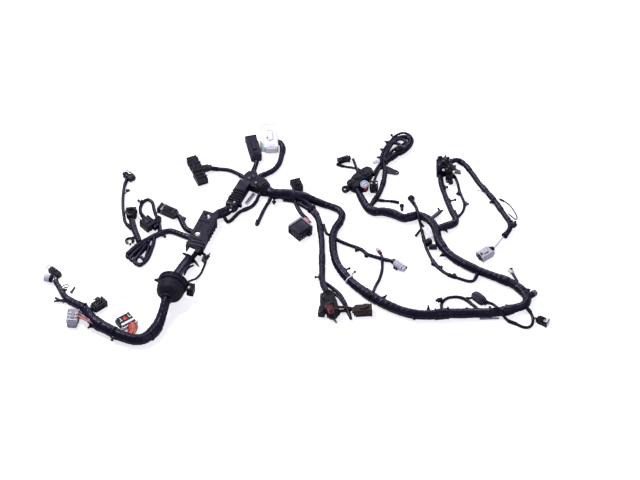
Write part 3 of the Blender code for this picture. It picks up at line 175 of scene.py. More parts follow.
TALL_CABLE = [
    (-412, 182, 7), (-417.5, 164, 5.2), (-420, 145, 4.6), (-421, 118, 4.6), (-420, 89, 4.6),
    (-417, 62, 4.6), (-413, 42, 4.6), (-398, 20, 7.5),
]
WRAPPED_BUNDLE = [
    (-399, 58, 8.3), (-396, 40, 8.3), (-391, 18, 8.3), (-382, -8, 8.3), (-378, -24, 8.3),
]
NECK_LOOP_CABLE = [
    (-227, -56, 7), (-219, -65, 5), (-218, -80, 3.6), (-222, -98, 3.6), (-229, -119, 3.6),
    (-240, -137, 6), (-252, -150, 13), (-261, -164, 21.5), (-266, -178, 26.2), (-267.5, -185, 27),
]
MODULE_LOOP_CABLE = [
    (173, 83, 10.5, 11.5), (186, 110, 6.8, 12), (197, 131, 6.8, 12), (204.5, 153, 6.8, 12),
    (210, 178, 6.8, 12), (213, 208, 6.8, 12.2), (211, 230, 6.8, 12.4), (212, 256, 6.6, 11.8),
    (219, 279, 6, 10.5), (229, 300, 5.6, 9.8), (242, 315, 5.4, 9.4), (258, 322, 5.4, 9.4),
    (272, 317, 5.4, 9.4), (275, 304, 5.4, 9.4), (270, 290, 5.6, 9.4),
]
MODULE_BRANCH_CABLE = [
    (213, 234, 8.3), (229, 250, 8.3), (244, 264, 8.3), (259, 274, 8.3), (269, 289, 8),
]
MODULE_LEFT_CABLE = [
    (156, 199, 12), (148, 212, 8.5), (134, 221, 4.2), (120, 224, 3.7), (106, 228, 3.7), (96, 233, 4.5),
]
SIDE_CABLE = [
    (190, 114, 6.5), (208, 113, 4.5), (231, 111, 4), (246, 107, 4),
]


def metres(value):
    """Typed millimetres in metres: a number, a point or a list of points. A Vector is in metres already."""
    if value is None or isinstance(value, Vector):
        return value
    if isinstance(value, (int, float)):
        return value / MILLIMETRES
    return [metres(item) for item in value]


def place(x, y, z=0):
    """A typed point, moved with the part to the origin."""
    return Vector(metres((x, y, z))) + SHIFT


def turned(degrees, axis="Z"):
    return Matrix.Rotation(math.radians(degrees), 4, axis)


def heading_vector(degrees):
    return Vector((math.cos(math.radians(degrees)), math.sin(math.radians(degrees)), 0.0))


def seat(at, heading, lift=0):
    """The frame of a piece that stands on the floor at a place, turned to a heading."""
    return Matrix.Translation(place(*at, REST + lift)) @ turned(heading)


class Socket:
    """One output of a shader node, with arithmetic that adds Math nodes."""

    def __init__(self, look, socket):
        self.look = look
        self.socket = socket

    def math(self, operation, first, second=None):
        values = {0: first}
        if second is not None:
            values[1] = second
        return self.look.node("ShaderNodeMath", {"operation": operation}, values)

    def __add__(self, other):
        return self.math("ADD", self, other)

    def __radd__(self, other):
        return self.math("ADD", other, self)

    def __sub__(self, other):
        return self.math("SUBTRACT", self, other)

    def __rsub__(self, other):
        return self.math("SUBTRACT", other, self)

    def __mul__(self, other):
        return self.math("MULTIPLY", self, other)

    def __rmul__(self, other):
        return self.math("MULTIPLY", other, self)

    def __truediv__(self, other):
        return self.math("DIVIDE", self, other)

    def __pow__(self, other):
        return self.math("POWER", self, other)


SHEEN = (0.80, 0.72, 1.0, 1.0)


class Look:
    """A material under construction."""

    def __init__(self, name):
        self.material = bpy.data.materials.new(name)
        self.material.use_nodes = True
        self.tree = self.material.node_tree
        self.shader = self.tree.nodes["Principled BSDF"]

    def node(self, kind, settings=None, inputs=None, output=0):
        """Adds a node: its settings first, then the values or links of its sockets."""
        made = self.tree.nodes.new(kind)
        for key, value in (settings or {}).items():
            setattr(made, key, value)
        for key, value in (inputs or {}).items():
            self.feed(made.inputs[key], value)
        return Socket(self, made.outputs[output])

    def feed(self, target, value):
        if isinstance(value, Socket):
            self.tree.links.new(value.socket, target)
        elif target.type == "RGBA":
            target.default_value = (*value[:3], 1.0)
        else:
            target.default_value = value

    def where(self):
        return self.node("ShaderNodeTexCoord", output="Object")

    def noise(self, scale, detail=3.0, roughness=0.5, stretch=None):
        spot = self.where()
        if stretch:
            spot = self.node("ShaderNodeMapping", inputs={"Vector": spot, "Scale": stretch})
        inputs = {"Vector": spot, "Scale": scale, "Detail": detail, "Roughness": roughness}
        return self.node("ShaderNodeTexNoise", inputs=inputs)

    def cells(self, scale):
        return self.node("ShaderNodeTexVoronoi", inputs={"Vector": self.where(), "Scale": scale})

    def between(self, value, low, high):
        """How far the value lies between two levels, from 0 to 1."""
        inputs = {"Value": value, "From Min": low, "From Max": high}
        return self.node("ShaderNodeMapRange", inputs=inputs)

    def blend(self, amount, first, second):
        made = self.tree.nodes.new("ShaderNodeMix")
        made.data_type = "RGBA"
        self.feed(made.inputs[0], amount)
        self.feed(made.inputs[6], first)
        self.feed(made.inputs[7], second)
        return Socket(self, made.outputs[2])

    def bump(self, height, strength, distance=0.0004):
        inputs = {"Height": height, "Strength": strength, "Distance": distance}
        return self.node("ShaderNodeBump", inputs=inputs)

    def done(self, **sockets):
        for key, value in sockets.items():
            self.feed(self.shader.inputs[key.replace("_", " ")], value)
        return self.material


def tape_look(name, dark=(0.0028, 0.0022, 0.0078), worn=(0.0100, 0.0084, 0.0235), gloss=0.0):
    """Wound tape: fine cloth grain, dusty turn edges and darker, shinier pressed patches."""
    look = Look(name)
    turn = look.node("ShaderNodeAttribute", {"attribute_name": "turn"}, output="Fac")
    patch = look.between(look.noise(38.0, 4.0, 0.6), 0.35, 0.68)
    dust = look.between(look.noise(160.0, 5.0, 0.65), 0.45, 0.75)
    edge = turn ** 5.0
    amount = patch * 0.45 + edge * 0.35 + dust * 0.25
    colour = look.blend(amount, dark, worn)
    grain = look.node("ShaderNodeTexWave", {"wave_type": "BANDS", "bands_direction": "DIAGONAL"},
                      {"Vector": look.where(), "Scale": 900.0, "Distortion": 2.0, "Detail": 1.0}, "Fac")
    wrinkle = look.noise(420.0, 4.0, 0.6)
    height = grain * 0.25 + wrinkle * 0.75
    rough = 0.40 - gloss + dust * 0.16 - patch * 0.08
    return look.done(Base_Color=colour, Roughness=rough, Specular_IOR_Level=0.26, Coat_Weight=0.12,
                     Specular_Tint=SHEEN, Coat_Tint=SHEEN, Coat_Roughness=0.24,
                     Normal=look.bump(height, 0.45, 0.0003))


def tube_look(name, dark=(0.0034, 0.0025, 0.0088)):
    """Smooth extruded tubing with faint scuffs along it."""
    look = Look(name)
    scuff = look.between(look.noise(220.0, 4.0, 0.7), 0.55, 0.8)
    patch = look.noise(45.0, 2.0)
    colour = look.blend(scuff * 0.5 + patch * 0.2, dark, (0.022, 0.020, 0.034))
    rough = 0.30 + scuff * 0.22
    return look.done(Base_Color=colour, Roughness=rough, Specular_IOR_Level=0.36, Specular_Tint=SHEEN,
                     Normal=look.bump(look.noise(500.0), 0.12, 0.0002))


def plastic_look(name, colour, roughness=0.46, fleck=0.35, light=None, shine=0.30):
    """Moulded housing: eroded mould grain, faint flow marks and lighter rubbed patches."""
    look = Look(name)
    lighter = light or tuple(min(1.0, c * 1.9 + 0.008) for c in colour)
    rub = look.between(look.noise(75.0, 5.0, 0.62), 0.5, 0.78)
    flow = look.noise(26.0, 2.0, 0.4, stretch=(1.0, 3.2, 1.0))
    shade = look.blend(rub * fleck + flow * 0.18, colour, lighter)
    grain = look.cells(1500.0) * 0.5 + look.noise(900.0, 2.0) * 0.5
    rough = roughness + rub * 0.12 - flow * 0.05
    return look.done(Base_Color=shade, Roughness=rough, Specular_IOR_Level=shine,
                     Normal=look.bump(grain, 0.22, 0.00025))


def rubber_look(name):
    look = Look(name)
    bloom = look.between(look.noise(60.0, 5.0, 0.65), 0.42, 0.8)
    colour = look.blend(bloom * 0.6, (0.0058, 0.0049, 0.0120), (0.023, 0.020, 0.038))
    rough = 0.56 + bloom * 0.18
    return look.done(Base_Color=colour, Roughness=rough, Specular_IOR_Level=0.26,
                     Normal=look.bump(look.noise(650.0, 4.0), 0.25, 0.0003))


def wire_look(name, colour, roughness=0.36):
    look = Look(name)
    mark = look.between(look.noise(300.0, 3.0), 0.5, 0.8)
    shade = look.blend(mark * 0.3, colour, tuple(c * 0.6 for c in colour))
    return look.done(Base_Color=shade, Roughness=roughness + mark * 0.15,
                     Normal=look.bump(look.noise(800.0), 0.1, 0.0001))


def metal_look(name, colour, roughness=0.3):
    look = Look(name)
    streak = look.noise(700.0, 3.0, 0.6, stretch=(1.0, 6.0, 1.0))
    shade = look.blend(streak * 0.35, colour, tuple(c * 0.5 for c in colour))
    return look.done(Base_Color=shade, Metallic=1.0, Roughness=roughness + streak * 0.15,
                     Normal=look.bump(streak, 0.15, 0.0001))


TAPE = tape_look("wound_tape")
TIGHT_TAPE = tape_look("shiny_tape", gloss=0.08)
TUBING = tube_look("black_tubing")
BLACK = plastic_look("black_moulding", (0.0042, 0.0033, 0.0095), 0.40)
CHARCOAL = plastic_look("charcoal_moulding", (0.0140, 0.0122, 0.0265), 0.42)
GREY = plastic_look("grey_moulding", (0.300, 0.295, 0.335), 0.42)
MIDDLE_GREY = plastic_look("middle_grey_moulding", (0.150, 0.146, 0.178), 0.44)
DARK_GREY = plastic_look("dark_grey_moulding", (0.075, 0.073, 0.090), 0.44)
LIGHT_GREY = plastic_look("light_grey_moulding", (0.560, 0.555, 0.610), 0.42)
PALE = plastic_look("white_moulding", (0.930, 0.935, 0.960), 0.42, 0.2, (0.98, 0.98, 1.0), 0.5)
# A green used only for painted shade on the pale connector's shaded side.
PAINTED_SHADE_GREEN = plastic_look("painted_shade_green_moulding", (0.30, 0.42, 0.34), 0.42)
PALE_BLUE = plastic_look("pale_blue_moulding", (0.700, 0.770, 0.930), 0.35, 0.3, (0.92, 0.94, 1.0), 0.5)
BROWN = plastic_look("dark_brown_moulding", (0.034, 0.018, 0.016), 0.42)
OLIVE = plastic_look("olive_moulding", (0.050, 0.054, 0.048))
MAROON = plastic_look("maroon_moulding", (0.105, 0.010, 0.015), 0.40)
GREEN_BLACK = plastic_look("green_black_moulding", (0.0075, 0.0100, 0.0105), 0.36)
RUBBER = rubber_look("black_rubber")
NYLON = plastic_look("pale_nylon", (0.62, 0.61, 0.66), 0.38, 0.2, (0.8, 0.8, 0.84))
TIN = metal_look("tinned_terminal", (0.72, 0.72, 0.75))
WIRE_LOOKS = {
    "black": wire_look("black_wire", (0.012, 0.011, 0.016)),
    "red": wire_look("red_wire", (0.55, 0.030, 0.022)),
    "pink": wire_look("pink_wire", (0.74, 0.27, 0.30)),
    "white": wire_look("white_wire", (0.78, 0.78, 0.80)),
    "orange": wire_look("orange_wire", (0.74, 0.20, 0.035)),
    "yellow": wire_look("yellow_wire", (0.72, 0.52, 0.06)),
    "grey": wire_look("grey_wire", (0.26, 0.26, 0.29)),
    "brown": wire_look("brown_wire", (0.10, 0.040, 0.022)),
    "violet": wire_look("violet_wire", (0.16, 0.10, 0.26)),
}
SLOTS = {TAPE: "tape", TIGHT_TAPE: "tape", TUBING: "smooth_tube", RUBBER: "rubber", CHARCOAL: "charcoal",
         GREY: "grey", MIDDLE_GREY: "grey", DARK_GREY: "grey", LIGHT_GREY: "grey", BROWN: "brown",
         MAROON: "brown", PALE: "pale", PAINTED_SHADE_GREEN: "pale", NYLON: "pale", PALE_BLUE: "pale_blue",
         OLIVE: "olive", **{look: "smooth_tube" for look in WIRE_LOOKS.values()},}


def slot_of(finish):
    return SLOTS.get(finish, "black_plastic")


def spline_point(a, b, c, d, t):
    """The point at t between b and c of a smooth curve through a, b, c and d."""
    return [0.5 * (2 * q + (r - p) * t + (2 * p - 5 * q + 4 * r - s) * t * t
                   + (3 * q - p - 3 * r + s) * t ** 3) for p, q, r, s in zip(a, b, c, d)]


def smooth_points(route, spacing):
    """Evenly spaced points along a smooth curve through the route's points."""
    ends = [[2 * p - q for p, q in zip(route[0], route[1])],
            [2 * p - q for p, q in zip(route[-1], route[-2])],]
    padded = [ends[0], *route, ends[1]]
    fine = []
    for i in range(len(route) - 1):
        for k in range(12):
            fine.append(spline_point(*padded[i:i + 4], k / 12))
    fine.append(list(route[-1]))
    run = [0.0]
    for p, q in zip(fine, fine[1:]):
        run.append(run[-1] + math.dist(p[:3], q[:3]))
    count = max(3, round(run[-1] / spacing) + 1)
    points = []
    at = 0
    for n in range(count):
        want = run[-1] * n / (count - 1)
        while at < len(run) - 2 and run[at + 1] < want:
            at += 1
        part = (want - run[at]) / max(run[at + 1] - run[at], 1e-9)
        points.append([p + (q - p) * part for p, q in zip(fine[at], fine[at + 1])])
    return points, run[-1]


class Run:
    """A cable's centreline in metres, with its radius and its side and upper directions at each point."""

    def __init__(self, route, diameter=None, spacing=1.6):
        full = metres([(*p, diameter) if len(p) == 3 else p for p in route])
        points, self.length = smooth_points(full, metres(spacing))
        self.centre = [Vector(p[:3]) + SHIFT for p in points]
        self.radius = [p[3] / 2 for p in points]
        self.step = self.length / (len(points) - 1)
        self.along = []
        for i in range(len(points)):
            ahead = self.centre[min(i + 1, len(points) - 1)] - self.centre[max(i - 1, 0)]
            self.along.append(ahead.normalized())
        side = self.along[0].cross(Vector((0.0, 0.0, 1.0))).normalized()
        self.side = []
        for ahead in self.along:
            side = (side - ahead * side.dot(ahead)).normalized()
            self.side.append(side)
        self.up = [s.cross(a) for s, a in zip(self.side, self.along)]

    def near(self, x, y):
        """The number of the point that lies nearest to a place on the floor."""
        spot = place(x, y)
        return min(range(len(self.centre)), key=lambda i: (self.centre[i].xy - spot.xy).length)

    def reach(self, x, y):
        """How far along the cable the point nearest to a place lies."""
        return self.near(x, y) * self.step

    def frame(self, i):
        """A frame at a point: X along the cable, Z as near to upright as the cable lets it be."""
        ahead = self.along[i]
        across = Vector((0.0, 0.0, 1.0)).cross(ahead).normalized()
        above = ahead.cross(across)
        turn = Matrix((ahead, across, above)).transposed().to_4x4()
        return Matrix.Translation(self.centre[i]) @ turn


def ride(piece, finish):
    piece.data.materials.clear()
    piece.data.materials.append(finish)
    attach(piece, "root")
    return piece


def swept(name, run, sides, skin, finish, first=0, last=None):
    """A tube along a run. The skin gives its radius, and each turn's share, from the distance and angle."""
    last = len(run.centre) - 1 if last is None else last
    verts = []
    turns = []
    for i in range(first, last + 1):
        for k in range(sides):
            angle = 2 * math.pi * k / sides
            out = run.side[i] * math.cos(angle) + run.up[i] * math.sin(angle)
            radius, turn = skin(i, i * run.step, angle, run.centre[i] + out * run.radius[i])
            spot = run.centre[i] + out * radius
            verts.append((spot.x, spot.y, max(spot.z, 0.0001)))
            turns.append(turn)
    faces = []
    rings = last - first
    for i in range(rings):
        for k in range(sides):
            a = i * sides + k
            b = i * sides + (k + 1) % sides
            faces.append((a, a + sides, b + sides, b))
    faces.append(tuple(range(sides)))
    faces.append(tuple(range(rings * sides + sides - 1, rings * sides - 1, -1)))
    mesh = bpy.data.meshes.new(name)
    mesh.from_pydata(verts, [], faces)
    share = mesh.attributes.new("turn", "FLOAT", "POINT")
    share.data.foreach_set("value", turns)
    shape = bmesh.new()
    shape.from_mesh(mesh)
    bmesh.ops.recalc_face_normals(shape, faces=shape.faces)
    shape.to_mesh(mesh)
    shape.free()
    mesh.shade_smooth()
    mesh.set_sharp_from_angle(angle=math.radians(50.0))
    piece = bpy.data.objects.new(name, mesh)
    bpy.context.scene.collection.objects.link(piece)
    return ride(piece, finish)


def tape_skin(run, pitch, step, lump, sleeves=()):
    """Tape wound at a pitch over a lumpy bundle. A sleeve has its middle, half its length and its extra."""
    def skin(i, distance, angle, spot):
        turn = distance / pitch - angle / (2 * math.pi)
        part = turn - math.floor(turn)
        radius = run.radius[i] + step * (0.6 - part)
        radius += lump * (noise.noise(spot * 34.0) + 0.35 * noise.noise(spot * 120.0))
        radius += 0.045 * run.radius[i] * math.cos(5 * angle + 2.2 * math.sin(distance * 8.0))
        for middle, half, extra in sleeves:
            radius += extra * min(1.0, max(0.0, (half - abs(distance - middle)) / 0.0016 + 0.5))
        return radius, part
    return skin


def tube_skin(run):
    def skin(i, distance, angle, spot):
        return run.radius[i] * 0.97 + 0.00012 * noise.noise(spot * 60.0), 0.0
    return skin


def rib_skin(run, pitch=0.0030):
    """Corrugated tubing: rounded ribs with narrow grooves between them."""
    def skin(i, distance, angle, spot):
        wave = abs(math.sin(math.pi * distance / pitch)) ** 0.6
        return run.radius[i] * (0.90 + 0.10 * wave), 0.0
    return skin


class Shape:
    """Primitives gathered into one mesh, in a piece's own frame. Numbers and plain points are millimetres."""

    def __init__(self):
        self.mesh = bmesh.new()

    def take(self, part, centre=(0, 0, 0), turn=None):
        """Adds a primitive whose own points are in metres."""
        if turn:
            bmesh.ops.rotate(part, cent=(0.0, 0.0, 0.0), matrix=turn.to_3x3(), verts=part.verts)
        bmesh.ops.translate(part, vec=metres(centre), verts=part.verts)
        bmesh.ops.recalc_face_normals(part, faces=part.faces)
        mesh = bpy.data.meshes.new("part")
        part.to_mesh(mesh)
        part.free()
        self.mesh.from_mesh(mesh)
        bpy.data.meshes.remove(mesh)
        return self

    def box(self, size, centre=(0, 0, 0), bevel=0.4, turn=None):
        size = metres(size)
        part = bmesh.new()
        bmesh.ops.create_cube(part, size=1.0)
        bmesh.ops.scale(part, vec=size, verts=part.verts)
        if bevel:
            bmesh.ops.bevel(part, geom=part.edges[:], offset=min(metres(bevel), 0.42 * min(size)),
                            segments=2, affect="EDGES", profile=0.6)
        return self.take(part, centre, turn)

    def rod(self, start, end, radius, far=None, sides=16, bevel=0):
        start, end = Vector(metres(start)), Vector(metres(end))
        radius, far = metres(radius), metres(far)
        part = bmesh.new()
        bmesh.ops.create_cone(part, cap_ends=True, segments=sides, radius1=radius,
                              radius2=radius if far is None else far, depth=(end - start).length)
        if bevel:
            rims = [e for e in part.edges if abs(e.verts[0].co.z - e.verts[1].co.z) < 1e-7]
            bmesh.ops.bevel(part, geom=rims, offset=metres(bevel), segments=2, affect="EDGES", profile=0.6)
        turn = Vector((0.0, 0.0, 1.0)).rotation_difference(end - start).to_matrix()
        return self.take(part, (start + end) / 2, turn)

    def ball(self, centre, radius, scale=(1, 1, 1)):
        part = bmesh.new()
        bmesh.ops.create_uvsphere(part, u_segments=18, v_segments=12, radius=metres(radius))
        bmesh.ops.scale(part, vec=scale, verts=part.verts)
        return self.take(part, centre)

    def tube(self, points, radius, sides=10, tip=None, closed=False):
        """A round tube through points, narrowing to the tip radius where one is given."""
        points = [Vector(metres(p)) for p in points]
        radius, tip = metres(radius), metres(tip)
        count = len(points)
        part = bmesh.new()
        rings = []
        side = None
        for i, point in enumerate(points):
            after = points[(i + 1) % count] if closed else points[min(i + 1, count - 1)]
            ahead = (after - points[i - 1 if closed else max(i - 1, 0)]).normalized()
            if side is None:
                side = ahead.orthogonal()
            side = (side - ahead * side.dot(ahead)).normalized()
            up = ahead.cross(side)
            wide = radius if tip is None else radius + (tip - radius) * i / (count - 1)
            ring = []
            for k in range(sides):
                angle = 2 * math.pi * k / sides
                ring.append(part.verts.new(point + wide * (side * math.cos(angle) + up * math.sin(angle))))
            rings.append(ring)
        pairs = list(zip(rings, rings[1:])) + ([(rings[-1], rings[0])] if closed else [])
        for near, far in pairs:
            for k in range(sides):
                part.faces.new((near[k], near[(k + 1) % sides], far[(k + 1) % sides], far[k]))
        if not closed:
            part.faces.new(rings[0])
            part.faces.new(rings[-1])
        return self.take(part)

    def ring(self, centre, radius, thick, arc=360, start=0, turn=None):
        """A round ring or an open arc of one, lying level unless it is turned."""
        centre, radius = Vector(metres(centre)), metres(radius)
        count = max(8, round(28 * arc / 360))
        points = []
        for n in range(count if arc >= 360 else count + 1):
            angle = math.radians(start + arc * n / count)
            spot = Vector((radius * math.cos(angle), radius * math.sin(angle), 0.0))
            points.append((turn.to_3x3() @ spot if turn else spot) + centre)
        return self.tube(points, thick, closed=arc >= 360)

    def plate(self, outline, thickness, centre=(0, 0, 0), turn=None, bevel=0.4):
        part = bmesh.new()
        thickness = metres(thickness)
        low = [part.verts.new((x, y, -thickness / 2)) for x, y in metres(outline)]
        face = part.faces.new(low)
        made = bmesh.ops.extrude_face_region(part, geom=[face])
        top = [item for item in made["geom"] if isinstance(item, bmesh.types.BMVert)]
        bmesh.ops.translate(part, vec=(0.0, 0.0, thickness), verts=top)
        bmesh.ops.bevel(part, geom=part.edges[:], offset=metres(bevel), segments=2, affect="EDGES",
                        profile=0.6)
        return self.take(part, centre, turn)

    def make(self, name, where=None, finish=BLACK, slot=None):
        mesh = bpy.data.meshes.new(name)
        if where is not None:
            self.mesh.transform(where)
        self.mesh.to_mesh(mesh)
        self.mesh.free()
        mesh.shade_smooth()
        mesh.set_sharp_from_angle(angle=math.radians(35))
        piece = bpy.data.objects.new(name, mesh)
        bpy.context.scene.collection.objects.link(piece)
        return ride(piece, finish)


RUNS = {}
WRAP_PITCH = 0.0062


def lay_cable(node, route, diameter, kind, pitch=11, sides=20, sleeves=(), stated=None):
    """One bundle: its own skin over the routed line, in place of its plain solid."""
    spacing = {"tape": 1.5, "tube": 3, "rib": 0.6}[kind]
    run = Run(route, diameter, spacing)
    RUNS[node] = run
    wound = [(run.reach(x, y), *metres((half, extra))) for x, y, half, extra in sleeves]
    mean = 2 * sum(run.radius) / len(run.radius)
    if kind == "tape":
        skin = tape_skin(run, metres(pitch), 0.00022 + 0.016 * mean, 0.0003 + 0.030 * mean, wound)
        piece = swept(node + "_tape", run, sides, skin, TAPE)
    elif kind == "rib":
        piece = swept(node + "_tube", run, sides, rib_skin(run), TUBING)
    else:
        piece = swept(node + "_tube", run, sides, tube_skin(run), TUBING)
    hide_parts(node)
    metres(stated) or min(mean, run.length / 6.2)
    if kind != "tape":
        count = max(2, round(run.length / 0.085))
        for n in range(count):
            middle = (n + 0.5) / count * run.length
            if n in (0, count - 1):
                middle = 0.010 if n == 0 else run.length - 0.010
            wrap(f"{node}_wrap_{n + 1}", run, middle, 9.5, 0.7)


def wrap(name, run, middle, half, extra, sides=20):
    """A few turns of tape round a cable, at a distance in metres along it."""
    half, extra = metres((half, extra))
    first = max(0, round((middle - half) / run.step))
    last = min(len(run.centre) - 1, round((middle + half) / run.step))
    last = max(last, first + 2)

    def skin(i, distance, angle, spot):
        turn = distance / WRAP_PITCH - angle / (2 * math.pi)
        part = turn - math.floor(turn)
        return run.radius[i] + extra + 0.00025 * (0.5 - part) + 0.0002 * noise.noise(spot * 90.0), part
    swept(name, run, sides, skin, TIGHT_TAPE, first, last)


def tie(name, run, x, y, finish=BLACK, roll=60, tail=11, width=3.6, proud=1):
    """A cable tie: its band round the bundle, its square head and its cut tail."""
    i = run.near(x, y)
    where = run.frame(i)
    radius = MILLIMETRES * run.radius[i] + proud
    shape = Shape()
    part = bmesh.new()
    rings = []
    angles = [math.radians(12 * k) for k in range(30)]
    for along, out in ((-0.5, -1.2), (-0.5, 0), (-0.36, 0.7), (0.36, 0.7), (0.5, 0), (0.5, -1.2)):
        wide = radius + out
        ring = [(along * width, wide * math.cos(angle), wide * math.sin(angle)) for angle in angles]
        rings.append([part.verts.new(point) for point in metres(ring)])
    for near, far in zip(rings, rings[1:]):
        for k in range(30):
            part.faces.new((near[k], near[(k + 1) % 30], far[(k + 1) % 30], far[k]))
    part.faces.new(rings[0])
    part.faces.new(rings[-1])
    shape.take(part)
    turn = turned(roll, "X")
    head = tuple(turn @ Vector((0, 0, radius + 1.6)))
    shape.box((5.2, 5.8, 4), head, 0.7, turn)
    end = tuple(turn @ Vector((0, tail * 0.5 + 2, radius + 1.8 + tail * 0.18)))
    shape.box((3, tail, 1.1), end, 0.3, turn @ turned(18, "X"))
    shape.make(name, where, finish)


def clip(name, run, x, y, away, kind="tree", reach=11, finish=BLACK):
    """A fixing clip taped on a bundle: its saddle, its stem, and its head, which points along a heading."""
    i = run.near(x, y)
    radius = MILLIMETRES * run.radius[i]
    out = heading_vector(away)
    out = (out - run.along[i] * out.dot(run.along[i])).normalized()
    ahead = run.along[i]
    turn = Matrix((out, ahead.cross(out) * -1, out.cross(ahead.cross(out) * -1))).transposed()
    if turn.determinant() < 0:
        turn = Matrix((out, ahead.cross(out), out.cross(ahead.cross(out)))).transposed()
    where = Matrix.Translation(run.centre[i]) @ turn.to_4x4()
    shape = Shape()
    shape.box((3, 8.5, 10.5), (radius + 0.4, 0, 0), 0.8)
    if kind == "tree":
        shape.rod((radius, 0, 0), (radius + reach, 0, 0), 1.7, 1.3, 12)
        for n in range(3):
            base = radius + reach * (0.42 + 0.2 * n)
            shape.rod((base, 0, 0), (base + 1.6, 0, 0), 3.6 - 0.6 * n, 1.8, 14)
        shape.rod((radius + 2.6, 0, 0), (radius + 3.6, 0, 0), 5.5, 4.8, 18)
    elif kind == "arrow":
        shape.rod((radius, 0, 0), (radius + reach, 0, 0), 2, 1.6, 12)
        shape.rod((radius + reach * 0.45, 0, 0), (radius + reach, 0, 0), 4.2, 1.2, 8)
        shape.box((1.2, 10, 7.5), (radius + 3.2, 0, 0))
    elif kind == "fin":
        shape.plate([(0, -4.5), (reach, -1.2), (reach, 2), (0, 6)], 2.8, (radius + 0.8, 0, 0), bevel=0.6)
        shape.box((1.6, 9, 6), (radius + 3, 0, 0), 0.5)
    else:
        shape.rod((radius, 0, 0), (radius + reach, 0, 0), 2.2, 2.2, 12)
        shape.ball((radius + reach, 0, 0), 3.6, (0.8, 1, 1))
    shape.make(name, where, finish, "black_plastic")


def fan(name, route, colours, diameter=1.8, start=6, end=2, seed=1):
    """Loose wires from a connector's back that draw together along a route."""
    draw = random.Random(seed)
    groups = {}
    count = len(colours)
    for n, colour in enumerate(colours):
        side = 0 if count == 1 else 2 * n / (count - 1) - 1
        height = draw.uniform(-1, 1)
        points = []
        for m, spot in enumerate(route):
            before = Vector(route[max(m - 1, 0)])
            after = Vector(route[min(m + 1, len(route) - 1)])
            across = (after - before).cross(Vector((0, 0, 1))).normalized()
            share = m / (len(route) - 1)
            spread = start + (end - start) * share
            bow = math.sin(math.pi * share) * draw.uniform(-1.2, 1.2)
            spot = Vector(spot) + across * (side * spread + bow)
            spot.z = max(diameter * 0.55 + 0.6, spot.z + height * spread * 0.35)
            points.append(tuple(spot))
        fine = [p[:3] for p in smooth_points(points, 2.2)[0]]
        groups.setdefault(colour, []).append([place(*p) for p in fine])
    for colour, lines in groups.items():
        shape = Shape()
        for line in lines:
            shape.tube(line, diameter / 2, 8)
        shape.make(f"{name}_{colour}_wires", finish=WIRE_LOOKS[colour])


# Each housing's size, place, heading, finish and depth of mouth, as in the part's source.
HOUSINGS = {
    "top_connector": ((68, 27, 21), (-106.5, 279), 102.9, CHARCOAL, 18),
    "pale_connector": ((78, 34, 20), (-67, 313), 96, PALE, 16),
    "bridge_connector": ((30, 24, 18), (-1, 158), 108, BLACK, 3.4),
    "big_connector": ((42, 40, 22), (8, 13), 222, CHARCOAL, 3.4),
    "drop_connector": ((60, 27, 26), (80, -224), -79, BLACK, 14),
    "brown_connector": ((40, 24, 20), (158.5, -241), 4, BROWN, 3.4),
    "right_end_connector": ((26, 17, 15), (583, -273), -30, BLACK, 3.4),
    "arm_connector": ((34, 27, 16), (450, -62), 218, LIGHT_GREY, 3.4),
    "dark_connector": ((22, 19, 18), (185.2, 154.5), 92, GREEN_BLACK, 3.4),
    "left_connector": ((46, 22, 18), (-312.5, 75.5), 150, OLIVE, 3.4),
    "holder_block": ((24, 24, 16), (-399, 70), 96, BLACK, 3.4),
    "tail_connector": ((30, 15, 13), (-577.5, -118), 138, BLACK, 3.4),
    "multi_way_connector": ((42, 25, 18), (-529, -264), 84, GREY, 3.4),
    "tail_black_connector": ((34, 21, 19), (-468, -222.5), 40, BLACK, 3.4),
    "two_tone_connector": ((36, 27, 14), (-405, -270), 35, BLACK, 3.4),
}


def dress_housing(node, latch=True):
    """The fittings of a moulded housing: mouth rim, rails, grip ridges, latch ramp, seal and terminals."""
    (length, width, height), at, heading, finish, deep = HOUSINGS[node]
    where = seat(at, heading)
    mouth = length / 2
    shape = Shape()
    for side in (-1, 1):
        shape.box((length * 0.62, 1.3, 2.2), (-length * 0.04, side * (width / 2 + 0.5), height * 0.78))
        shape.box((length * 0.50, 1.1, 1.6), (-length * 0.10, side * (width / 2 + 0.4), height * 0.30))
        shape.box((2.6, 1.2, height * 0.94), (mouth - 1.6, side * (width / 2 + 0.2), height / 2))
    for level in (0.5, height + 0.2):
        shape.box((2.6, width + 1.4, 1.2), (mouth - 1.6, 0, level))
    for n in range(4):
        shape.box((1, width * 0.58, 1.1), (-mouth + 3.2 + n * 2.1, 0, height + 0.2), 0.3)
    if latch:
        arm = length * 0.42
        shape.box((4, width * 0.27, 2), (arm / 2 - 1.2, 0, height + 4), 0.7)
        for side in (-1, 1):
            shape.box((arm * 0.9, 1.2, 2.6), (0, side * width * 0.21, height + 1.1))
    for n in range(2):
        shape.box((1.1, width * 0.84, height * 0.80), (-mouth - 1.2 - n * 2, 0, height / 2))
    shape.make(node + "_fittings", where, finish)
    pins = Shape()
    columns = max(2, int((metres(width) - 0.006) / 0.003))
    for row in (0.27, 0.73):
        for n in range(columns):
            y = (n - (columns - 1) / 2) * 3
            pins.box((deep - 1, 1.1, 0.9), (mouth - deep / 2 - 0.6, y, height * row), 0.2)
    pins.make(node + "_terminals", where, TIN, slot_of(finish))
    return where


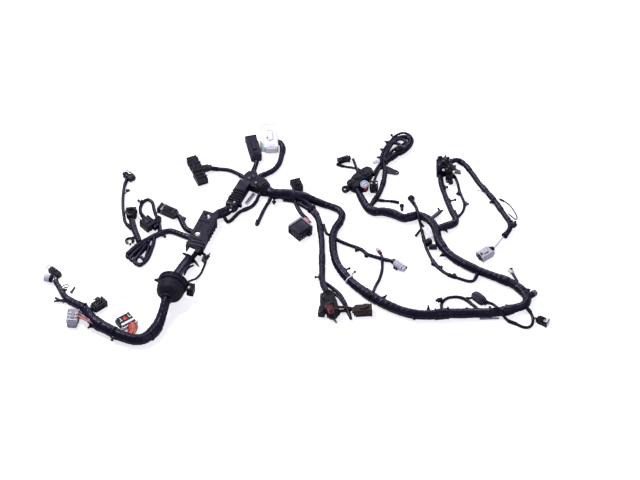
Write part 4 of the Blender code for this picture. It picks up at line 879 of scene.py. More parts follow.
def set_camera():
    camera = bpy.data.cameras.new("camera")
    camera.sensor_width = SENSOR
    camera.lens = SENSOR * VIEW_DISTANCE / VIEW_WIDTH
    camera.clip_end = 60.0
    holder = bpy.data.objects.new("camera", camera)
    away = Vector((0.0, -math.cos(VIEW_ELEVATION), math.sin(VIEW_ELEVATION)))
    holder.location = VIEW_AT + away * VIEW_DISTANCE
    holder.rotation_euler = (math.pi / 2 - VIEW_ELEVATION, 0.0, 0.0)
    bpy.context.scene.collection.objects.link(holder)
    bpy.context.scene.camera = holder
    bpy.context.scene.view_settings.view_transform = "Standard"


def area_light(name, at, size, power, colour):
    light = bpy.data.lights.new(name, "AREA")
    light.shape = "DISK"
    light.size = size
    light.energy = power
    light.color = colour
    holder = bpy.data.objects.new(name, light)
    holder.location = at
    holder.rotation_euler = (-Vector(at)).to_track_quat("-Z", "Y").to_euler()
    bpy.context.scene.collection.objects.link(holder)


def light_studio():
    area_light("key", (-1.5, 1.1, 2.7), 1.0, 86.0, (0.98, 0.97, 1.0))
    area_light("fill", (1.9, -1.5, 2.1), 2.2, 20.0, (0.93, 0.93, 1.0))
    area_light("back", (0.7, 2.6, 1.3), 1.3, 26.0, (0.90, 0.90, 1.0))
    world = bpy.data.worlds.new("studio")
    world.use_nodes = True
    tree = world.node_tree
    back = tree.nodes["Background"]
    path = tree.nodes.new("ShaderNodeLightPath")
    tint = tree.nodes.new("ShaderNodeMix")
    tint.data_type = "RGBA"
    tint.inputs[6].default_value = (0.20, 0.19, 0.28, 1.0)
    tint.inputs[7].default_value = (1.0, 1.0, 1.0, 1.0)
    tree.links.new(path.outputs["Is Camera Ray"], tint.inputs[0])
    tree.links.new(tint.outputs[2], back.inputs["Color"])
    bpy.context.scene.world = world


def lay_floor():
    """A plain pale floor that the camera sees white, with the object's shadow kept on it."""
    look = Look("floor")
    camera_ray = look.node("ShaderNodeLightPath", output="Is Camera Ray")
    glow = look.node("ShaderNodeEmission", inputs={"Color": (1.0, 0.99, 1.0), "Strength": camera_ray * 0.70})
    look.feed(look.shader.inputs["Base Color"], (0.80, 0.79, 0.83))
    look.feed(look.shader.inputs["Roughness"], 0.95)
    look.feed(look.shader.inputs["Specular IOR Level"], 0.0)
    both = look.tree.nodes.new("ShaderNodeAddShader")
    look.tree.links.new(look.shader.outputs[0], both.inputs[0])
    look.tree.links.new(glow.socket, both.inputs[1])
    look.tree.links.new(both.outputs[0], look.tree.nodes["Material Output"].inputs["Surface"])
    mesh = bpy.data.meshes.new("floor")
    mesh.from_pydata([(-9.0, -9.0, 0.0), (9.0, -9.0, 0.0), (9.0, 9.0, 0.0), (-9.0, 9.0, 0.0)], [],
                     [(0, 1, 2, 3)])
    mesh.materials.append(look.material)
    floor = bpy.data.objects.new("floor", mesh)
    bpy.context.scene.collection.objects.link(floor)


FINISHES = {
    "bracket": CHARCOAL, "hub": RUBBER, "grommet": RUBBER, "eyelet": TIN, "eared_plate": CHARCOAL,
    "pad": CHARCOAL, "top_connector": CHARCOAL, "pale_connector": PALE, "big_connector": CHARCOAL,
    "brown_connector": BROWN, "silver_connector": NYLON, "arm_connector": LIGHT_GREY,
    "left_connector": GREEN_BLACK, "ribbed_block": CHARCOAL, "tall_connector": CHARCOAL,
    "tail_round_connector": LIGHT_GREY, "multi_way_connector": GREY,
}


def finish_cad():
    for name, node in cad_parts.items():
        if node.hide_render:
            continue
        finish = FINISHES.get(name, BLACK)
        if node.data.materials:
            for n in range(len(node.data.materials)):
                node.data.materials[n] = finish
        else:
            node.data.materials.append(finish)


def lay_trunks():
    lay_cable("main_trunk", MAIN_TRUNK, None, "tape", 14, 26,
              sleeves=((177.6, -196.9, 21, 1.1), (343.2, -249.7, 17, 1.3), (499.2, -240.1, 13, 1),
                       (93.6, 31.9, 12, 0.9)))
    lay_cable("return_trunk", RETURN_TRUNK, None, "tape", 13, 26,
              sleeves=((343.2, -34.4, 14, 1), (494.4, -145.1, 12, 1.2), (180, 74.4, 13, 1)))
    lay_cable("neck_and_tail_trunk", NECK_AND_TAIL_TRUNK, None, "tape", 13.5, 26,
              sleeves=((-331.2, -308.2, 14, 1.2), (-472.8, -285.8, 13, 1.2), (-540, -207.9, 11, 1)),
              stated=24)
    lay_cable("drop_trunk", DROP_TRUNK, 14.5, "tape", 10.5, sleeves=((60, -71.1, 9, 0.8),))


def lay_hub_cables():
    lay_cable("hub_left_cable", HUB_LEFT_CABLE, 10.2, "rib")
    lay_cable("hub_top_cable", HUB_TOP_CABLE, 11.8, "tape", 8.5, stated=10.2)
    lay_cable("hub_right_cable", HUB_RIGHT_CABLE, 13.2, "tape", 9, stated=11.8)
    lay_cable("hub_drop_cable", HUB_DROP_CABLE, 9, "tape", 8)
    before, end = place(-93.8, 48.4, 5), place(-97, 35, 5)
    cap = Shape().rod(before, end, 5.4, 5, 18, 0.8)
    cap.rod(end, end + (end - before) * 0.22, 3.2, 2.6, 14)
    stub_cap = cap.make("hub_stub_cap")
    lay_cable("hub_stub_cable", HUB_STUB_CABLE, 9, "tape", 8)


def lay_middle_cables():
    lay_cable("big_connector_cable", BIG_CONNECTOR_CABLE, 10, "tape", 8.5)
    before, end = place(121, -236.6, 7), place(128.4, -265.4, 7)
    tip = Shape().rod(before, end, 5.8, 3.4, 18, 0.8)
    tip.rod(before, before + (end - before) * 0.2, 6.6, 6.6, 18, 0.8)
    right_tip = tip.make("drop_right_tip")
    lay_cable("drop_right_cable", DROP_RIGHT_CABLE, 9, "tape", 8)
    lay_cable("middle_cable", MIDDLE_CABLE, 9, "tape", 8.5)
    lay_cable("middle_link_cable", MIDDLE_LINK_CABLE, 7.5, "tape", 7.5)


def lay_right_cables():
    ball = Shape()
    centre = place(275.5, 117.7, 8.4)
    ball.ball(centre, 8, (1, 1, 0.95))
    ball.ring(centre - Vector((0.0, 0.0, 0.001)), 7.9, 1.1)
    ball.rod(centre + Vector((0.001, -0.004, 0.0)), centre + Vector((0.0045, -0.0125, -0.002)), 5.2, 4.5,
             16, 0.6)
    arc_end = ball.make("arc_end_connector")
    lay_cable("arc_cable", ARC_CABLE, 8, "rib", sides=18)
    lay_cable("pad_cable", PAD_CABLE, 7.8, "tape", 7.5)
    lay_cable("pad_tail_cable", PAD_TAIL_CABLE, 7.8, "tube", sides=16, stated=6.8)
    lay_cable("mast_cable", MAST_CABLE, None, "tape", 9.5)
    lay_cable("mast_inner_cable", MAST_INNER_CABLE, 7, "tube", sides=16)
    lay_cable("arm_cable", ARM_CABLE, 12.5, "tape", 10, sleeves=((470.4, 120.9, 11, 0.8),
                                                                 (415.2, 216.9, 10, 0.8)))
    lay_cable("module_loop_cable", MODULE_LOOP_CABLE, None, "tape", 8.5)
    lay_cable("module_branch_cable", MODULE_BRANCH_CABLE, 14, "tape", 9)
    body = Shape().box((28, 12.5, 12), (0, 0, 6.2), 1)
    body.box((3, 14, 13.2), (-12.5, 0, 6.6), 0.5)
    body.box((11, 4.8, 1.6), (2, 0, 13.4), 0.5)
    body.box((6, 8.4, 8.4), (16, 0, 6.4), 0.8)
    for n in range(4):
        body.box((1.1, 13.2, 9), (-6 + n * 3.4, 0, 6.2), 0.3)
    block = body.make("module_left_connector", seat((112, 245), 24))
    lay_cable("module_left_cable", MODULE_LEFT_CABLE, 6.2, "tube", sides=16)
    small = Shape().ball(place(252.7, 94.4, 6.6), 5.6)
    small.rod(place(252.7, 94.4, 6.6), place(252.7, 80, 5.6), 4, 3.4, 14, 0.5)
    nub = small.make("side_connector")
    lay_cable("side_cable", SIDE_CABLE, 6.5, "tube", sides=16)


def lay_left_cables():
    lay_cable("upper_left_cable", UPPER_LEFT_CABLE[:-1], 13.4, "tape", 9, stated=11.8)
    lay_cable("lower_left_cable", LOWER_LEFT_CABLE[1:], 13.6, "tape", 9, stated=11.5)
    lay_cable("folded_cable", FOLDED_CABLE, 9.5, "tape", 8)
    lay_cable("ring_cable", RING_CABLE, 9, "tube", sides=18, stated=7.8)
    lay_cable("wrapped_bundle", WRAPPED_BUNDLE, 15, "tape", 9.5)
    lay_cable("tall_cable", TALL_CABLE, 8, "rib", sides=18)
    lay_cable("neck_loop_cable", NECK_LOOP_CABLE, 6, "tube", sides=16)


def strand(name, points, diameter, finish=None, sides=12, wound=True):
    """A loose strand or short lead through points of the source's plan."""
    points = [(*p, diameter / 2 + REST) if len(p) == 2 else p for p in points]
    run = Run(points, diameter, 2.2)
    if wound:
        skin = tape_skin(run, *metres((8, 0.25, 0.3)))
    else:
        skin = tube_skin(run)
    swept(name, run, sides, skin, finish or (TAPE if wound else TUBING))
    return run


def dress_tail_connectors():
    bail = Shape()
    frame_points = [(0, -5.2, 0), (10.5, -5.2, 0.6), (11, 5.2, 0.6), (0, 5.2, 0)]
    bail.tube(frame_points, 1, 8, closed=True)
    bail.tube([(3.5, -5.2, 0.2), (3.5, 5.2, 0.2)], 0.8, 8)
    bail.make("tail_bail", seat((-587.2, -108), 138, 8), MIDDLE_GREY)
    cap = Shape().rod((0, 0, 0), (8.5, 0, 0), 9.8, 9, 24, 1.4)
    cap.rod((8.5, 0, 0), (10.8, 0, 0), 6, 5.4, 20, 0.6)
    cap.make("tail_round_cap", seat((-591.5, -139.2), 165, 9.8), LIGHT_GREY)
    back = Shape()
    for n in range(3):
        back.rod((0.2 + 2.6 * n, 0, 0), (1.6 + 2.6 * n, 0, 0), 9.6, 9.6, 20, 0.4)
    back.make("tail_round_rings", seat((-588.2, -140.1), -15, 9.6))
    fan("tail_connector", [(-577.9, -121.4, 7), (-574.6, -131.8, 6.5), (-572.6, -147.7, 6),
                           (-567.6, -163.7, 6)], ["grey", "black", "grey", "violet", "black"], 1.6, 4.5,
        2.2, 4)
    hook = Shape().tube([place(-561.1, -166.3, 6), place(-554.4, -160.7, 8), place(-546.5, -156.8, 8),
                         place(-541.9, -161.1, 7), place(-546.2, -165.6, 6), place(-553.4, -165, 6)], 1.4,
                        8)
    hook.make("tail_hook", finish=MIDDLE_GREY)
    bulge = Shape().box((9.5, 12, 11), bevel=2.4)
    bulge.rod((0, 0, 0), (0, 10.5, 0), 2.8, 2.2, 12)
    bulge.make("tail_bulge_clip", seat((-555.4, -178.6), -62, 8))
    bar = Shape().box((18.5, 4.2, 3.8), bevel=0.9)
    bar.box((4, 6.2, 5.2), (-8, 0, 0), 0.9)
    bar.make("tail_bar_clip", seat((-532.1, -170.3), 63, 2.8))
    fork = Shape().rod((0, 0, 0), (20, 0, 0), 4, 3.4, 12, 0.4)
    for side in (-1, 1):
        fork.rod((18, side * 1.4, 0), (28, side * 6.2, 0), 3.2, 2.6, 10, 0.4)
    fork.box((3, 11, 6), (6, 0, 0), 0.8)
    fork.make("tail_fork_clip", seat((-547.2, -208.8), 170, 6.2))


def dress_multi_way():
    """The grey lever connector: tower, lever frame, black patches painted as its cavities' shade, and its
    bare fan of wires.
    """
    where = dress_housing("multi_way_connector", latch=False)
    lever = Shape().tube([(-12, 14, 6), (16, 14, 10), (18.5, 14, 17), (18.5, -14, 17), (16, -14, 10),
                          (-12, -14, 6)], 1.6, 8)
    for n in range(3):
        lever.box((4, 23, 2), (-13.5 + n * 10.5, 0, 19.3), 0.6)
    lever.box((26, 1.6, 3), (-1, 6, 19), 0.5)
    lever.box((26, 1.6, 3), (-1, -6, 19), 0.5)
    lever.make("multi_way_lever", where, LIGHT_GREY)
    # Thin black patches over the cavities: painted shade in place of hollows.
    dark = Shape()
    for n in range(4):
        dark.box((3.4, 3.6, 0.8), (-8.5 + n * 5.6, 0, 18.4), 0.3)
        dark.box((3.4, 0.8, 3.6), (-8.5 + n * 5.6, -12.7, 9.2), 0.3)
    dark.make("multi_way_cavity_shade", where)
    fan("multi_way", [(-519.6, -249, 12), (-508.8, -262.3, 18), (-498.2, -271.7, 20),
                      (-487.2, -281.8, 22), (-477.6, -289.6, 20)],
        ["red", "pink", "white", "black", "red", "grey", "pink", "black", "red", "white", "pink",
         "black"], 2.4, 11.5, 5.6, 7)


def dress_two_tone():
    """The black and white connector: its white comb, slots, red lock and bright wires."""
    where = dress_housing("two_tone_connector", latch=False)
    pale = Shape().box((37.5, 5.6, 15.6), (0, -12.2, 8), 0.8)
    pale.box((43, 3.6, 11), (1.5, -19.2, 6.4), 0.7)
    for side in (-1, 1):
        pale.box((1.8, 8, 1.2), (side * 11, 3.5, 14.6), 0.3)
        pale.box((6.2, 1.8, 1.2), (side * 12.5, -1.2, 14.6), 0.3)
    for n in range(7):
        pale.box((2.2, 2.2, 1.2), (-13.8 + n * 4.6, -9.2, 14.6), 0.3)
    pale.make("two_tone_comb", where, PALE)
    lock = Shape().box((10, 7.6, 3), (0, -1.4, 15), 0.7)
    lock.box((4, 11, 2), (0, 1.4, 14.8), 0.5)
    lock.make("two_tone_lock", where, WIRE_LOOKS["red"])
    shade = Shape().box((36.4, 3, 13.6), (0, -16, 7.2), 0.6)
    for n in range(8):
        shade.box((2.4, 1.2, 6), (-14.5 + n * 4.15, -14.6, 11.2), 0.3)
    shade.make("two_tone_back", where)
    fan("two_tone", [(-390, -278.9, 10), (-385.2, -295.5, 14), (-389.3, -313.3, 16),
                     (-399.6, -324.3, 14)], ["red", "orange", "red", "black", "orange", "yellow", "red",
                                             "pink", "red", "yellow", "red", "black", "red"], 2.5, 11,
        6.2, 3)


def dress_tail_black():
    dress_housing("tail_black_connector")
    lip = Shape().rod((0, -8, 0), (0, 8, 0), 6.2, 6.2, 20, 1)
    lip.box((11, 1.6, 1.6), (-9, 5.4, 6.6), 0.5)
    lip.box((11, 1.6, 1.6), (-9, -5.4, 6.6), 0.5)
    lip.make("tail_black_nose", seat((-469.2, -211.7), 40, 12))


def dress_grommet():
    """Details of the body grommet: bead on the rim, ribs, ear clip and the side box's lid."""
    heading = -105.7
    tilt = Matrix.Translation(place(-295.7, -186, 36.5)) @ turned(heading)
    shape = Shape()
    upright = turned(90, "Y")
    for along, radius, thick in ((-13, 35.2, 1.7), (-8.5, 35.8, 1.3), (5, 31.8, 0.9), (12, 28.6, 0.9)):
        shape.ring((along, 0, 0), radius, thick, 180, 90, upright)
    shape.make("grommet_beads", tilt, RUBBER)
    ear = Shape().box((6, 13, 10), bevel=1.8)
    ear.rod((0, 0, 0), (0, -11, 0), 3.6, 3, 14, 0.6)
    ear.make("grommet_ear", seat((-327.4, -164.7), -105.7, 30), RUBBER)
    spot = Shape().ball((0, 0, 0), 3.4, (1, 1, 0.6))
    spot.make("grommet_side_stud", seat((-255.4, -195.8), 0, 41.5), NYLON)
    lid = Shape().box((21, 18, 3.6), bevel=1.2)
    for n in range(3):
        lid.box((1.2, 16, 1.4), (-6 + 6 * n, 0, 2.2))
    lid.make("grommet_box_lid", seat((-251.7, -191.6), -105.7, 39))


def dress_neck():
    neck = RUNS["neck_and_tail_trunk"]
    for n, (x, y, half, extra) in enumerate(((-178.8, 63.3, 9, 1), (-165.1, 72.9, 7, 1.2))):
        wrap(f"neck_wrap_{n + 1}", neck, neck.reach(x, y), half, extra, sides=24)
    clip("neck_left_clip", neck, -264, -66.9, 180, "fin", 12)
    label = Shape().box((20, 15, 0.6), bevel=0.2)
    label.box((20, 0.6, 4.2), (0, 7.4, -2.2), 0.2)
    label.make("neck_label", seat((-253.9, -71.4), 62, 28.6), PALE)
    lever = Shape().box((12, 7.5, 7), bevel=1.2)
    lever.box((15, 2.8, 2.2), (4.5, 0, 4.2), 0.6)
    lever.make("neck_lever_clip", seat((-213.6, -73.3), 55, 10))
    vee = Shape().plate([(-10.5, 7.5), (-2, 9.5), (3, 2), (10.5, -13.5), (4, -8.5), (-3, 0.5), (-11, -3)],
                        5, bevel=0.9)
    vee.rod((-6, 7, 0), (-12, 13, 0), 4, 3.4, 14, 0.6)
    vee.make("neck_vee_clip", seat((-242.4, -89.2), 0, 8.5))
    foot = Shape().box((12, 15, 12), bevel=2.6)
    foot.box((5, 19, 6), (3, -4, 3), 1.2)
    foot.make("neck_loop_holder", seat((-220.3, -77.7), -20, 9))
    strand("neck_inner_cable", [(-247.2, -94.6, 5), (-255.4, -101.5, 7), (-262.6, -112.3, 9),
                                (-268.3, -130.3, 12)], 5.2, wound=False)


def dress_bracket():
    """Clamp bands, ribs and bright edges of the rigid trough."""
    where = seat((-222, -2), 68.3)
    ribs = Shape()
    for n in range(7):
        ribs.box((3, 7, 2), (-10 + n * 8.5, -9, 29.2), 0.6)
        ribs.box((2.6, 1.8, 20), (-10 + n * 8.5, -13.6, 16.5), 0.6)
    for x in (-40, -51):
        ribs.box((5.8, 36, 3), (x, 0, 27.6), 1.1)
        for side in (-1, 1):
            ribs.box((5.8, 2.6, 16), (x, side * 17.8, 19), 1)
    ribs.box((30, 1.8, 2), (5, 13.5, 29.2), 0.6)
    ribs.box((24, 1.8, 2), (2, -14.5, 29.2), 0.6)
    ribs.make("bracket_ribs", where, CHARCOAL)
    for number, (x, y) in enumerate(((-216.5, 44), (-237.8, -12.3))):
        rim = Shape().ring((0, 0, 0), 7.2, 1.1)
        rim.make(f"bracket_rim_{number + 1}", seat((x, y), 0, 28.8), CHARCOAL)


def dress_hub():
    wraps = (("hub_top_cable", 0.25, 8.5), ("hub_right_cable", 0.12, 11), ("hub_right_cable", 0.78, 9),
             ("hub_drop_cable", 0.45, 7), ("hub_left_cable", 0.96, 8))
    for n, (node, share, half) in enumerate(wraps):
        run = RUNS[node]
        wrap(f"hub_wrap_{n + 1}", run, run.length * share, half, 0.8)
    fin = Shape().plate([(0, -6), (12, 0), (0, 6)], 4, bevel=0.8)
    fin.rod((-6, 0, 0), (1, 0, 0), 2.6, 2.6, 12)
    fin.make("hub_triangle_clip", seat((-55.7, 107.5), -92, 8))
    strip = Shape().plate([(-20, -4.5), (19, -5.8), (22, 3.5), (-17, 5)], 1.2)
    strip.make("hub_pale_strip", seat((-114, 120.9), 62, 2), LIGHT_GREY)
    hub = Shape().plate([(-132, 163.7), (-128.6, 181.6), (-120, 192.5), (-108, 195), (-97.4, 189.9),
                         (-92.2, 175.8), (-83, 172.6), (-73, 164.9), (-64.3, 150.2), (-61.9, 136.1),
                         (-69.6, 124.6), (-86.4, 127.2), (-99.8, 136.8), (-112.8, 143.2),
                         (-124.8, 148.9)][::-1], 24, (0, 0, 14), bevel=6)
    boot = hub.make("hub_boot", Matrix.Translation(SHIFT), RUBBER)
    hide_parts("hub")
    dome = Shape().ball((0, 0, 0), 15, (1.15, 0.88, 0.70))
    for n in range(3):
        dome.ring((4 + 5 * n, 0, -1), 12.2 - 1.2 * n, 1, 180, 90, turned(90, "Y"))
    dome.make("hub_dome", Matrix.Translation(place(-85.4, 143.2, 22)) @ turned(-38), RUBBER)
    cap = Shape().ball((0, 0, 0), 12.5, (1.1, 1, 0.55))
    cap.make("hub_cap", Matrix.Translation(place(-111.4, 169.8, 23)), CHARCOAL)
    # A pale nylon stud on the boot's dome: a painted highlight spot.
    stud = Shape().ball((0, 0, 0), 2.2, (1, 1, 0.7))
    stud.rod((0, 0, -6), (0, 0, 0), 1.6, 1.6, 12)
    stud.make("hub_highlight_stud", Matrix.Translation(place(-99.4, 151.5, 27)), NYLON)
    channel = seat((-141, 122.5), 65.5)
    lid = Shape().box((30, 27, 3), (21, 0, 29), 0.9)
    lid.make("duct_lid", channel, CHARCOAL)
    feet = Shape()
    for n in range(5):
        feet.box((2.6, 29, 2.2), (-30 + n * 8.5, 0, 28.8), 0.6)
    feet.ball((-33, 6, 16), 14, (1.2, 0.85, 0.80))
    feet.ball((-44, -4, 14), 12.5, (1.1, 0.95, 0.85))
    feet.box((18, 29, 24), (-36, 0, 15), 4)
    feet.box((6, 10, 10), (-30, -17, 15), 1.4)
    feet.make("duct_foot", channel)
    # Two pale grey beads on the duct's foot: painted highlights.
    pins = Shape().ball((-37.1, -5.7, 28.4), 2.8, (1.3, 0.8, 0.6))
    pins.ball((-60, -6, 23.6), 2.8, (1.2, 0.9, 0.6))
    pins.make("duct_highlight_pins", channel, LIGHT_GREY)


def dress_top_connectors():
    where = dress_housing("top_connector", latch=False)
    mouth = Shape().box((15, 19, 10), (-30, 0, 10.5), 1.8)
    mouth.box((4, 17, 15), (-36, 0, 10.5), 1.2)
    mouth.rod((-35, 0, 10.5), (-42, 0, 10.5), 8.2, 6, 18, 0.8)
    mouth.make("top_connector_boot", where)
    where = dress_housing("pale_connector")
    # A pale green plate on the white housing's side: painted shade of that shaded face.
    edge = Shape().plate([(-36, 0), (3, -3.2), (-36, -18)], 3, (0, 27, 4), bevel=0.5)
    edge.make("pale_connector_painted_shade_edge", where, PAINTED_SHADE_GREEN)
    # A black disc on the white housing's top, in place of a hole: painted shade of the hole.
    spot = Shape().rod((0, 0, 0), (0, 0, 1.6), 1.8, 1.6, 14, 0.3)
    spot.make("pale_connector_hole_shade", seat((-73.7, 302.5), 0, 22.2))
    bar = seat((-240, 203), 113.3)
    plates = Shape()
    for n in range(6):
        plates.box((1.4, 26.5, 1.4), (-28 + n * 11.2, 0, 19.8))
    plates.box((18, 3, 1.8), (18, 6, 20), 0.5)
    plates.box((18, 3, 1.8), (-20, -6, 20), 0.5)
    for n in range(5):
        plates.box((1.6, 1.4, 12), (-26 + n * 12.5, 13.6, 11))
    plates.make("bar_connector_plates", bar)
    boot = Shape().box((24, 14.5, 13), bevel=2.4)
    boot.box((8, 11, 10.5), (15, 0, 0), 2)
    boot.make("bar_connector_boot", seat((-225.6, 211.7), 15, 11))


def dress_left_cluster():
    """The housings, the folded strands and the block's ribs of the left group."""
    where = dress_housing("left_connector")
    band = Shape().box((5, 23.2, 19), (11, 0, 9.5), 0.9)
    band.make("left_connector_band", where, GREY)
    dress_housing("holder_block")
    strand("fold_outer", [(-352.8, -10.4), (-366, -19.4), (-382.8, -38.6), (-401.8, -58.4),
                          (-406.1, -64.8), (-400.3, -69.3), (-382.8, -50.7), (-361.2, -27.1)], 9.2,
           sides=14)
    strand("fold_middle", [(-358.6, -22.5, 11), (-375.6, -45.1, 13), (-394.8, -67.1, 9), (-397, -77.6, 6),
                           (-387.8, -79.1, 7), (-374.4, -60.5, 12), (-361, -34.9, 12)], 8.6, sides=14)
    strand("fold_loop", [(-354.2, -35.1, 9), (-360, -67, 7), (-367.2, -89.1, 6), (-375.8, -96.2, 6),
                         (-384.5, -86.6, 6), (-382.6, -72.7, 7), (-374.4, -70.7, 9), (-366.2, -80.3, 9)],
           7.8, sides=14)
    ribs = Shape()
    for n in range(5):
        ribs.box((1.4, 31.8, 1.8), (-11 + n * 5.5, 0, 20.6), 0.5)
    for n in range(5):
        ribs.box((1.4, 1.4, 18), (-11 + n * 5.5, -15.6, 10))
    ribs.box((13, 12, 3), (0, 0, 22.2), 0.8)
    ribs.make("ribbed_block_ribs", seat((-358.5, 33), 42), CHARCOAL)


def dress_left_clips():
    """The ring clips, the star, the pegs and the blocks' lobes of the left group."""
    ring = Shape().ring((0, 0, 0), 8.4, 3.4, 290, -62)
    ring.box((9.5, 6.6, 6), (11, 6, 0), 1.2)
    ring.box((5.6, 4, 5), (-1.6, -10.4, 0), 0.9)
    ring.make("left_ring_clip", seat((-401.3, -17.2), 20, 5))
    loops = Shape().ring((0, 0, 0), 11.8, 3.4, 300, -40)
    loops.make("holder_ring", seat((-398.9, 64.1), 30, 19))
    star = Shape().rod((-10.5, -11.5, -4.5), (0, 0, 0), 1.4, sides=10)
    for turn in (20, 80, 140):
        arm = 0.0054 * heading_vector(turn)
        star.rod(-arm, arm, 1.7, sides=10)
    star.make("tall_star_clip", seat((-409.4, 140.9), 0, 10))
    clip("ring_top_clip", RUNS["ring_cable"], -374.9, 109.9, 150, "peg", 8)
    clip("lower_left_clip", RUNS["lower_left_cable"], -324, 7.7, -85, "peg", 7.5)
    clip("upper_left_clip", RUNS["upper_left_cable"], -282.7, 49.3, 40, "fin", 6)
    lobes = Shape().ball((0, 0, 0), 7.8, (1, 0.9, 0.8))
    lobes.ball((15, -12, 0), 10.8, (1, 0.95, 0.75))
    lobes.ring((15, -12, 5), 7.6, 1.2)
    lobes.box((15, 7, 9), (7.5, -6, 0), 2)
    lobes.make("tall_connector_lobes", Matrix.Translation(place(-416.6, 194.7, 10)), CHARCOAL)
    lever = Shape().tube([place(-414.7, 204.3, 14), place(-406.6, 197.6, 14), place(-397, 191.8, 14)],
                         1.1, 8)
    lever.ball(place(-405.1, 196.6, 14), 2.4)
    lever.make("tall_connector_lever", finish=CHARCOAL)
    side = Shape().box((33, 10, 19), (0, 0, 9.8), 2.2)
    side.box((14, 14, 15), (-9, -6, 8), 2)
    for n in range(4):
        side.box((30, 1.2, 1.8), (0, -3.6 + n * 2.4, 19.6))
    side.make("ribbed_block_side", seat((-339.8, 37.9), 48), CHARCOAL)


def dress_tail_trunk():
    tail = RUNS["neck_and_tail_trunk"]
    clip("tail_lower_clip", tail, -477.6, -284, -125, "tree", 12)
    clip("tail_bottom_clip", tail, -422.4, -317.6, -95, "peg", 8)
    for n, (x, y) in enumerate(((-314.4, -231.4), (-341.3, -325.8), (-429.6, -311.4), (-501.6, -235.1))):
        tie(f"tail_tie_{n + 1}", tail, x, y, roll=-60 + 30 * n, tail=6)


def dress_bridge():
    """Parallel strands, wraps and fixings of the trunk between the hub and the split."""
    main = RUNS["main_trunk"]
    for n, (x, y, half) in enumerate(((-57.6, 129.8, 10), (-26.4, 126, 12), (14.4, 115.1, 10),
                                      (57.6, 98.5, 12))):
        wrap(f"bridge_wrap_{n + 1}", main, main.reach(x, y), half, 0.9, sides=24)
    strand("bridge_strand_low", [(-33.6, 115, 6), (-7.2, 109.3, 6), (14.4, 94.3, 7), (32.6, 78.1, 8),
                                 (43.7, 60.1, 8)], 10, sides=14)
    strand("bridge_strand_high", [(-26.4, 120.8, 19), (2.4, 112.1, 18), (22.6, 97.5, 15),
                                  (38.4, 81.3, 13), (50.4, 61.4, 12)], 9.5, sides=14)
    band = Shape().ring((0, 0, 0), 9.8, 1.9, 360, 0, turned(90, "Y"))
    band.box((8, 6.5, 7), (0, 6, 8), 1.2)
    band.make("split_band_clip", Matrix.Translation(place(35, 79.5, 10)) @ turned(-62))
    dress_housing("bridge_connector")
    strand("drop_side_cable", [(63.5, 34, 8), (67, 20, 5), (71, 8, 4.5), (76.3, 1, 7)], 6.8)


def dress_big_connector():
    where = dress_housing("big_connector", latch=False)
    face = Shape().box((34, 31, 2.2), (2, 2, 25), 0.8)
    for n in range(6):
        face.box((2.2, 2.4, 9), (15 - n * 6.2, -20.6, 12), 0.5)
    face.box((12, 7, 10), (-10, 22.2, 8), 1.2)
    face.make("big_connector_face", where, CHARCOAL)
    rim = Shape().box((40, 5, 3.6), (0, -18.6, 25.2), 0.8)
    rim.box((2.6, 34, 3.6), (-19.6, 0, 25.2), 0.6)
    for n in range(5):
        rim.box((1.6, 4.6, 6), (15 - n * 7.2, 21.6, 7))
    rim.make("big_connector_rim", where, GREY)
    fan("big_connector", [(16.8, 49.6, 12), (21.6, 43.1, 15), (26.9, 36.1, 15), (29.3, 31, 12)],
        ["red", "pink", "red", "white", "pink", "red", "red"], 1.8, 4.2, 7.2, 5)


def dress_drop():
    """The cluster at the drop trunk's lower end."""
    drop = RUNS["drop_trunk"]
    clip("drop_ring_clip", drop, 58.8, -135.1, 180, "peg", 8.5)
    for n, (x, y) in enumerate(((55.7, 18.5), (60, -87.1))):
        wrap(f"drop_wrap_{n + 1}", drop, drop.reach(x, y), 7.5, 0.8)
    where = dress_housing("drop_connector")
    skirt = Shape().rod((-31, 0, 14), (-40, 0, 13), 13, 8.5, 22, 1.6)
    skirt.ball((-19, -10, 15), 12.5, (1.35, 0.8, 0.9))
    skirt.ball((11, -12.5, 13), 12.5, (1.45, 0.7, 0.9))
    skirt.ball((27, 4, 12), 14, (0.8, 1.1, 0.85))
    skirt.box((34, 5, 15), (8, 14, 12), 2)
    skirt.ball((33, -1, 12), 13.5, (0.95, 1, 0.80))
    skirt.rod((18, 7.5, 17), (39, 5.5, 13), 8.5, 7, 20, 1.6)
    skirt.make("drop_connector_shroud", where)
    red = Shape().box((34, 15, 5.4), (23, -5.2, 26), 1.8)
    red.box((15, 9, 4.4), (27, -6, 29), 1.2)
    for n in range(3):
        red.box((1.8, 13, 1.8), (11 + n * 6, -5.2, 29), 0.5)
    red.make("drop_connector_lock", where, MAROON)
    tab = Shape().box((11, 4.6, 4.6), bevel=1)
    tab.rod((4, 0, 0), (9, 0, 0), 1.8, 1.2, 12)
    tab.make("drop_grey_tab", seat((90.7, -267.8), -58, 4.4), GREY)
    strand("drop_left_cable", [(59.5, -183.6), (58.6, -199.6), (59, -218.8)], 7.2)
    box = Shape().box((24, 16.5, 16), (0, 0, 8.3), 2.2)
    box.rod((6, 0, 8.3), (16, 0, 8.3), 6, 4.4, 16, 0.8)
    box.box((11, 7, 2), (-4, 0, 16.6), 0.6)
    for n in range(3):
        box.box((1.4, 17.6, 12), (-8 + n * 4, 0, 8.3), 0.5)
    box.make("drop_left_block", seat((59.6, -243), 82))
    where = dress_housing("brown_connector")
    notch = Shape().box((13, 10, 3), (6, 6, 21.2), 0.8)
    notch.box((34, 2, 2.6), (0, -9, 20.8), 0.6)
    notch.rod((-20, 0, 10), (-27.5, 0, 10), 6.8, 5, 18, 0.8)
    notch.make("brown_connector_notch", where, BROWN)
    strand("drop_brown_lead", [(99.6, -242.2, 9), (115.2, -239.4, 8), (128.2, -236.2, 8),
                               (140.4, -235.8, 9)], 8.2)
    strand("drop_right_twin", [(87.6, -186.3, 8), (99.6, -201.3, 12), (109.4, -217.7, 11),
                               (115.2, -228.7, 9)], 6.6)


